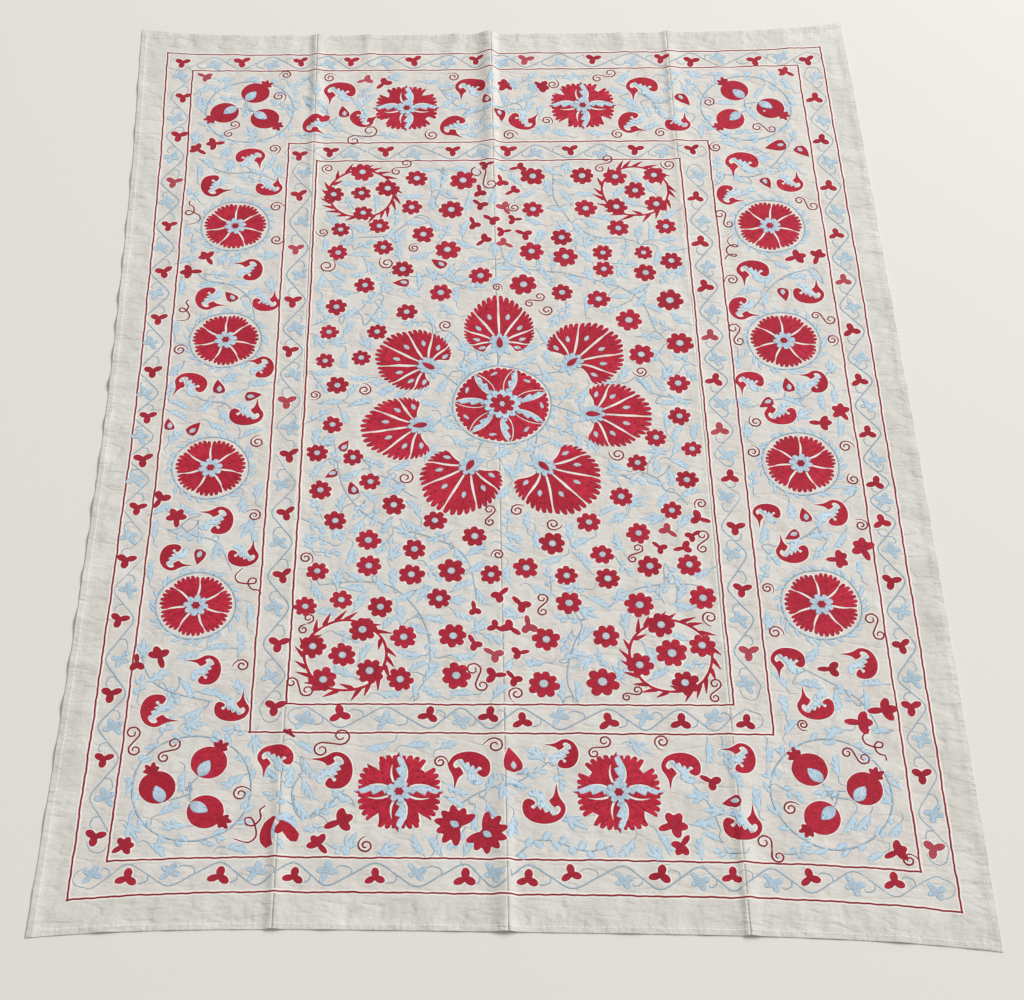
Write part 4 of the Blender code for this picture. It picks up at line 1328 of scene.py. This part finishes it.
stems = [
    [(-31.7, -6.3), (-30.9, -11.5), (-29.7, -17.7), (-26.9, -22.6), (-23.4, -25.7), (-19.3, -27.4),
     (-14.5, -28.9), (-10.3, -30.8), (-7.9, -32.9), (-6.6, -35.7), (-6.0, -39.0), (-5.6, -42.5)],
    [(-33.0, -39.5), (-27.9, -38.8), (-22.8, -39.0), (-19.3, -40.6), (-15.9, -44.7), (-14.1, -49.2),
     (-13.6, -54.7), (-14.1, -58.1), (-16.9, -62.3)],
    [(36.0, -40.0), (31.0, -38.9), (25.0, -39.3), (20.5, -41.0), (17.3, -44.0)],
    [(11.4, -44.9), (12.6, -47.5), (11.2, -51.0), (10.0, -55.0), (9.7, -59.0), (11.1, -62.6)],
    [(0.2, 39.7), (1.2, 36.7), (5.3, 34.9), (11.5, 34.0), (17.0, 32.4), (21.5, 30.9), (25.0, 28.8),
     (27.4, 26.1), (28.6, 22.6), (29.4, 19.5), (31.4, 16.5)],
    [(11.2, 63.0), (11.0, 54.7), (12.9, 50.2), (15.3, 46.1), (19.1, 43.5), (23.3, 43.0),
     (26.7, 42.3), (28.1, 41.2)],
    [(-11.5, 63.0), (-12.0, 57.0), (-13.0, 53.0), (-11.5, 50.5)],
    [(-31.0, 43.0), (-27.0, 43.6), (-23.5, 43.8), (-20.5, 45.5), (-17.2, 49.0)],
    [(-21.0, 33.6), (-16.0, 33.0), (-12.6, 33.8), (-10.0, 31.6), (-7.0, 30.5)],
    [(-31.5, 22.7), (-27.5, 23.3), (-26.3, 20.6), (-23.0, 27.5), (-25.5, 29.0)],
    [(-13.5, 18.0), (-10.9, 19.1), (-8.7, 17.0), (-7.2, 13.5), (-8.6, 9.0)],
    [(25.0, 7.6), (27.5, 4.0), (31.5, 2.6), (35.5, 2.0)],
    [(29.5, 12.6), (31.0, 9.5), (32.0, 8.0)],
    [(-35.0, 1.2), (-30.0, 1.3), (-25.0, 1.2)],
    [(-24.5, -15.3), (-20.5, -16.5), (-18.5, -19.0), (-16.0, -20.7)],
    [(24.5, -14.5), (27.5, -16.0), (29.0, -18.8), (31.0, -19.5), (32.8, -22.0)],
    [(-62.6, -51.0), (-62.4, -54.7), (-60.7, -58.8), (-56.6, -61.6), (-50.0, -63.1)],
    [(49.8, -55.7), (53.3, -57.8), (57.1, -60.2), (59.8, -63.0), (61.2, -66.0), (61.6, -68.0)],
    [(-62.0, 38.0), (-58.0, 32.5), (-53.0, 31.0), (-49.0, 27.5), (-47.5, 21.0)],
    [(-61.8, 8.8), (-57.0, 2.5), (-51.5, 0.8), (-49.5, -4.0)],
    [(-61.5, -22.5), (-56.5, -28.5), (-51.5, -30.5), (-48.5, -36.5)],
    [(62.2, 35.0), (56.5, 33.0), (53.0, 30.0), (49.0, 24.5)],
    [(62.5, 9.5), (57.0, 3.0), (51.5, 2.2), (47.0, 0.5)],
    [(62.0, -20.5), (56.0, -26.5), (52.0, -29.5), (47.5, -31.0)],
    [(-61.5, 66.0), (-56.0, 62.0), (-50.0, 61.8), (-45.5, 59.5)],
    [(61.5, 70.5), (57.5, 64.0), (52.5, 60.0), (46.5, 60.5)],
    [(-40.5, 84.0), (-36.0, 80.5), (-34.5, 75.5), (-28.0, 71.5)],
    [(-12.5, 87.0), (-9.0, 81.5), (-3.5, 79.5), (3.0, 81.5), (8.5, 84.0)],
    [(26.0, 87.5), (32.5, 82.5), (34.5, 77.5), (41.0, 74.0)],
    [(-12.8, -89.5), (-11.6, -85.5), (-8.2, -81.5), (-4.0, -79.0), (-0.5, -78.3), (3.5, -76.0),
     (6.0, -74.0)],
    [(29.5, -77.8), (32.0, -81.5), (33.5, -86.0)],
    [(-27.5, -79.5), (-31.0, -83.0), (-34.5, -84.5), (-36.0, -80.0), (-34.0, -75.5)]]


def sprig(at, aim, long, kind):
    # blue leaf forms of four kinds, root first
    wide, hand = sprigLook["wide"], dice.choice((-1, 1))
    if kind == 0:       # a long curved leaf with lobes along it
        bend = 0.16 * hand
        leafAt(at, aim, long, wide * 1.15, bend, (0.3, 0.9, 1, 0.7, 0.15))
        for t, side in ((0.20, 1), (0.36, -1), (0.52, 1), (0.66, -1)):
            root = placed((long * t, bend * long * t * t), at, aim)
            leafAt(root, aim + side * dice.uniform(0.65, 1.0), long * dice.uniform(0.26, 0.36),
                   wide * 0.85, -0.25 * side, (0.9, 1, 1, 0.75, 0.2))
    elif kind == 1:     # a lily of three leaves
        for off, part in ((-0.80, 0.66), (0.0, 1.0), (0.75, 0.70)):
            leafAt(at, aim + off, long * 0.78 * part, wide, -0.25 * off, (0.5, 0.9, 1, 0.75, 0.15))
        for side in (-1, 1):
            leafAt(at, aim + math.pi - 0.9 * side, long * 0.26, wide * 0.75, 0.3 * side)
    elif kind == 2:     # small leaves up a stalk
        stalk = [placed((long * t, 0.14 * hand * long * t * t), at, aim) for t in (0, 0.35, 0.7)]
        stroke("vines", stalk, sprigLook["stem"])
        for t, side in ((0.12, 1), (0.34, -1), (0.56, 1), (0.70, 0)):
            root = placed((long * t, 0.14 * hand * long * t * t), at, aim)
            leafAt(root, aim + side * 0.95 + 0.15 * hand, long * (0.32 if side else 0.36),
                   wide * 1.05, -0.2 * side, (0.3, 0.9, 1, 0.85, 0.3))
    else:       # a curling leaf with a toothed back
        bend = 0.42 * hand
        leafAt(at, aim - 0.3 * hand, long * 0.95, wide * 1.25, bend, (0.3, 0.9, 1, 0.6, 0.15))
        for t in (0.25, 0.48, 0.70):
            root = placed((long * 0.95 * t, bend * long * 0.95 * t * t), at, aim - 0.3 * hand)
            leafAt(root, aim - hand * (1.2 - 0.6 * t), long * 0.24, wide * 0.85, 0.2 * hand,
                   (1, 1, 1, 0.75, 0.2))


berryVine = smoothPath([(0.2, -91.0), (2.0, -89.3), (3.8, -88.1), (5.7, -88.1), (8.0, -88.8),
                        (10.4, -89.7), (12.9, -89.8), (15.9, -88.9)], 0.5)
stroke("vines", berryVine, 0.26)
for k, (x, y) in enumerate(berryVine[2::3]):
    side = 1 if k % 2 else -1
    leafAt((x, y), 0.9 * side + dice.uniform(-0.3, 0.3), dice.uniform(1.4, 2.0), 1.05, 0.1 * side,
           (0.4, 1, 1, 0.6))
    busy.append((x, y, 1.9))


def clearance(x, y, near):
    return min((math.hypot(x - bx, y - by) - br for bx, by, br in near), default=9.0)


stemPoints = []
for stem in stems:
    path = smoothPath(stem, 0.55)
    stroke("vines", path, 0.26, profile=(0.7, 1, 1, 0.7))
    stemPoints += [(*p, 0.15) for p in path]


def insideField(x, y):
    return abs(x) < 36.2 and -61.8 < y < 63.6


def insideBorder(x, y):
    return (abs(x) < 62.8 and -91.2 < y < 91.0
            and not (abs(x) < 45.0 and -70.4 < y < 72.0))


taken = []
scatter = dict(cell=1.25, clear=1.02, stemClear=0.45, ways=12, reaches=(1.0, 1.6, 2.2, 2.8, 3.4),
               shortest=1.5, longest=4.3, beyond=1.3, keepOff=1.15, stemFrom=1.0, stemTo=3.8)
grid = [(x * scatter["cell"], y * scatter["cell"]) for x in range(-51, 52) for y in range(-74, 75)]
dice.shuffle(grid)
for gx, gy in grid:
    if not (insideField(gx, gy) or insideBorder(gx, gy)):
        continue
    near = [b for b in busy if abs(b[0] - gx) < b[2] + 5 and abs(b[1] - gy) < b[2] + 5]
    near += [(t[0], t[1], t[2]) for t in taken if abs(t[0] - gx) < 7 and abs(t[1] - gy) < 7]
    if clearance(gx, gy, near) < scatter["clear"]:
        continue
    best, bestAim = 0, 0
    for k in range(scatter["ways"]):
        a = 2 * math.pi * k / scatter["ways"]
        reach = 0
        for step in scatter["reaches"]:
            px, py = polar(step, a, (gx, gy))
            free = clearance(px, py, near) >= scatter["stemClear"]
            if not free or not (insideField(px, py) or insideBorder(px, py)):
                break
            reach = step
        if reach > best or (reach == best and dice.random() < 0.3):
            best, bestAim = reach, a
    if best < scatter["shortest"]:
        continue
    long = min(scatter["longest"], best + scatter["beyond"]) * dice.uniform(0.9, 1.05)
    foot = polar(-0.35 * long + 0.35, bestAim, (gx, gy))
    sprig(foot, bestAim, long, dice.choice((0, 0, 1, 3, 3, 2)))
    for s in (0.1, 0.45, 0.8):
        taken.append((*polar(long * s, bestAim, foot), scatter["keepOff"]))
    reachable = [p for p in stemPoints
                 if scatter["stemFrom"] < math.dist(p[:2], foot) < scatter["stemTo"]]
    if reachable:
        target = min(reachable, key=lambda p: math.dist(p[:2], foot))
        mid = polar(-0.8, bestAim, foot)
        bow = placed((math.dist(mid, target[:2]) / 2, 0.5 * dice.choice((-1, 1))), mid,
                     math.atan2(target[1] - mid[1], target[0] - mid[0]))
        stroke("vines", smoothPath([foot, mid, bow, target[:2]], 0.5), sprigLook["stem"])
    else:
        curl = [foot, polar(-1.2, bestAim, foot), polar(-2.1, bestAim + 0.5, foot)]
        stroke("vines", smoothPath(curl, 0.4), sprigLook["stem"], profile=(1, 0.5))
print("sprigs:", len(taken) // 3)

# ---- the threads become pieces

crimsonRows, skyRows = threadMaterial("crimson", True), threadMaterial("sky", True)
finished = [
    finishStitching(reds, "redStitching", crimsonRows),
    finishStitching(blues, "blueStitching", skyRows),
    finishStrokes("thornRings", tall=0.0005, lift=0.0001,
                  material=threadMaterial("crimson", False)),
    finishStrokes("borderLines", tall=0.0004, lift=0.0001,
                  material=threadMaterial("maroon", False)),
    finishStrokes("vines", tall=0.0004, lift=0.00005, material=threadMaterial("haze", False)),
    finishStrokes("leaves", tall=0.0003, lift=0.00012, material=threadMaterial("mist", False),
                  smooth=False),
    # painted shade: the darker rim strokes under the leaves stand in for the shading of the raised
    # leaf edges
    finishStrokes("leafShadeRims", tall=0.0002, lift=0.00008, material=threadMaterial("dusk", False),
                  smooth=False),
    finishStrokes("paleEdging", tall=0.0002, lift=0.00010, material=threadMaterial("pale", False),
                  smooth=False),
    finishStrokes("hemStitches", tall=0.0003, lift=0.0, material=threadMaterial("pale", False),
                  smooth=False)]
finished.append(finishStrokes("tendrils", 0.0005, 0.00015, finished[3].data.materials[0]))
for piece in finished:
    piece.data.calc_loop_triangles()
    print(piece.name, len(piece.data.loop_triangles), "triangles")

# ---- floor, light and camera

stage = dict(floor=(0.81, 0.785, 0.738), world=0.42, sun=1.86, sunSpread=18,
             sunFrom=(2.6, 1.3, 2.4), window=118, windowSize=2.2, windowAt=(3.9, 3.4, 3.6))
bpy.ops.mesh.primitive_plane_add(size=14)
floor = bpy.context.object
floor.name = "floor"
floorPaint, _, _, floorShader = nodesOf("paleFloor")
floorShader.inputs["Base Color"].default_value = (*stage["floor"], 1)
floorShader.inputs["Roughness"].default_value = 0.9
floor.data.materials.append(floorPaint)

world = bpy.data.worlds.new("softRoom")
bpy.context.scene.world = world
world.use_nodes = True
world.node_tree.nodes["Background"].inputs["Color"].default_value = (1.0, 0.995, 0.985, 1)
world.node_tree.nodes["Background"].inputs["Strength"].default_value = stage["world"]
sunLight = bpy.data.lights.new("softSun", "SUN")
sunLight.energy, sunLight.angle = stage["sun"], math.radians(stage["sunSpread"])
sunLight.color = (1.0, 0.985, 0.96)
sun = bpy.data.objects.new("softSun", sunLight)
sun.location = stage["sunFrom"]
sun.rotation_euler = (-Vector(stage["sunFrom"])).to_track_quat("-Z", "Y").to_euler()
bpy.context.scene.collection.objects.link(sun)
windowLight = bpy.data.lights.new("windowSide", "AREA")
windowLight.energy, windowLight.size = stage["window"], stage["windowSize"]
window = bpy.data.objects.new("windowSide", windowLight)
window.location = stage["windowAt"]
window.rotation_euler = (-Vector(stage["windowAt"])).to_track_quat("-Z", "Y").to_euler()
bpy.context.scene.collection.objects.link(window)
bpy.context.scene.view_settings.view_transform = "Standard"

view = dict(at=(-0.1067, -2.2610, 2.8787), turned=(35.4957, -1.4969, -1.1595), lens=68.82)
camera = bpy.data.objects.new("camera", bpy.data.cameras.new("camera"))
camera.location = view["at"]
camera.rotation_euler = [math.radians(a) for a in view["turned"]]
camera.data.lens, camera.data.sensor_width = view["lens"], 36
bpy.context.scene.collection.objects.link(camera)
bpy.context.scene.camera = camera
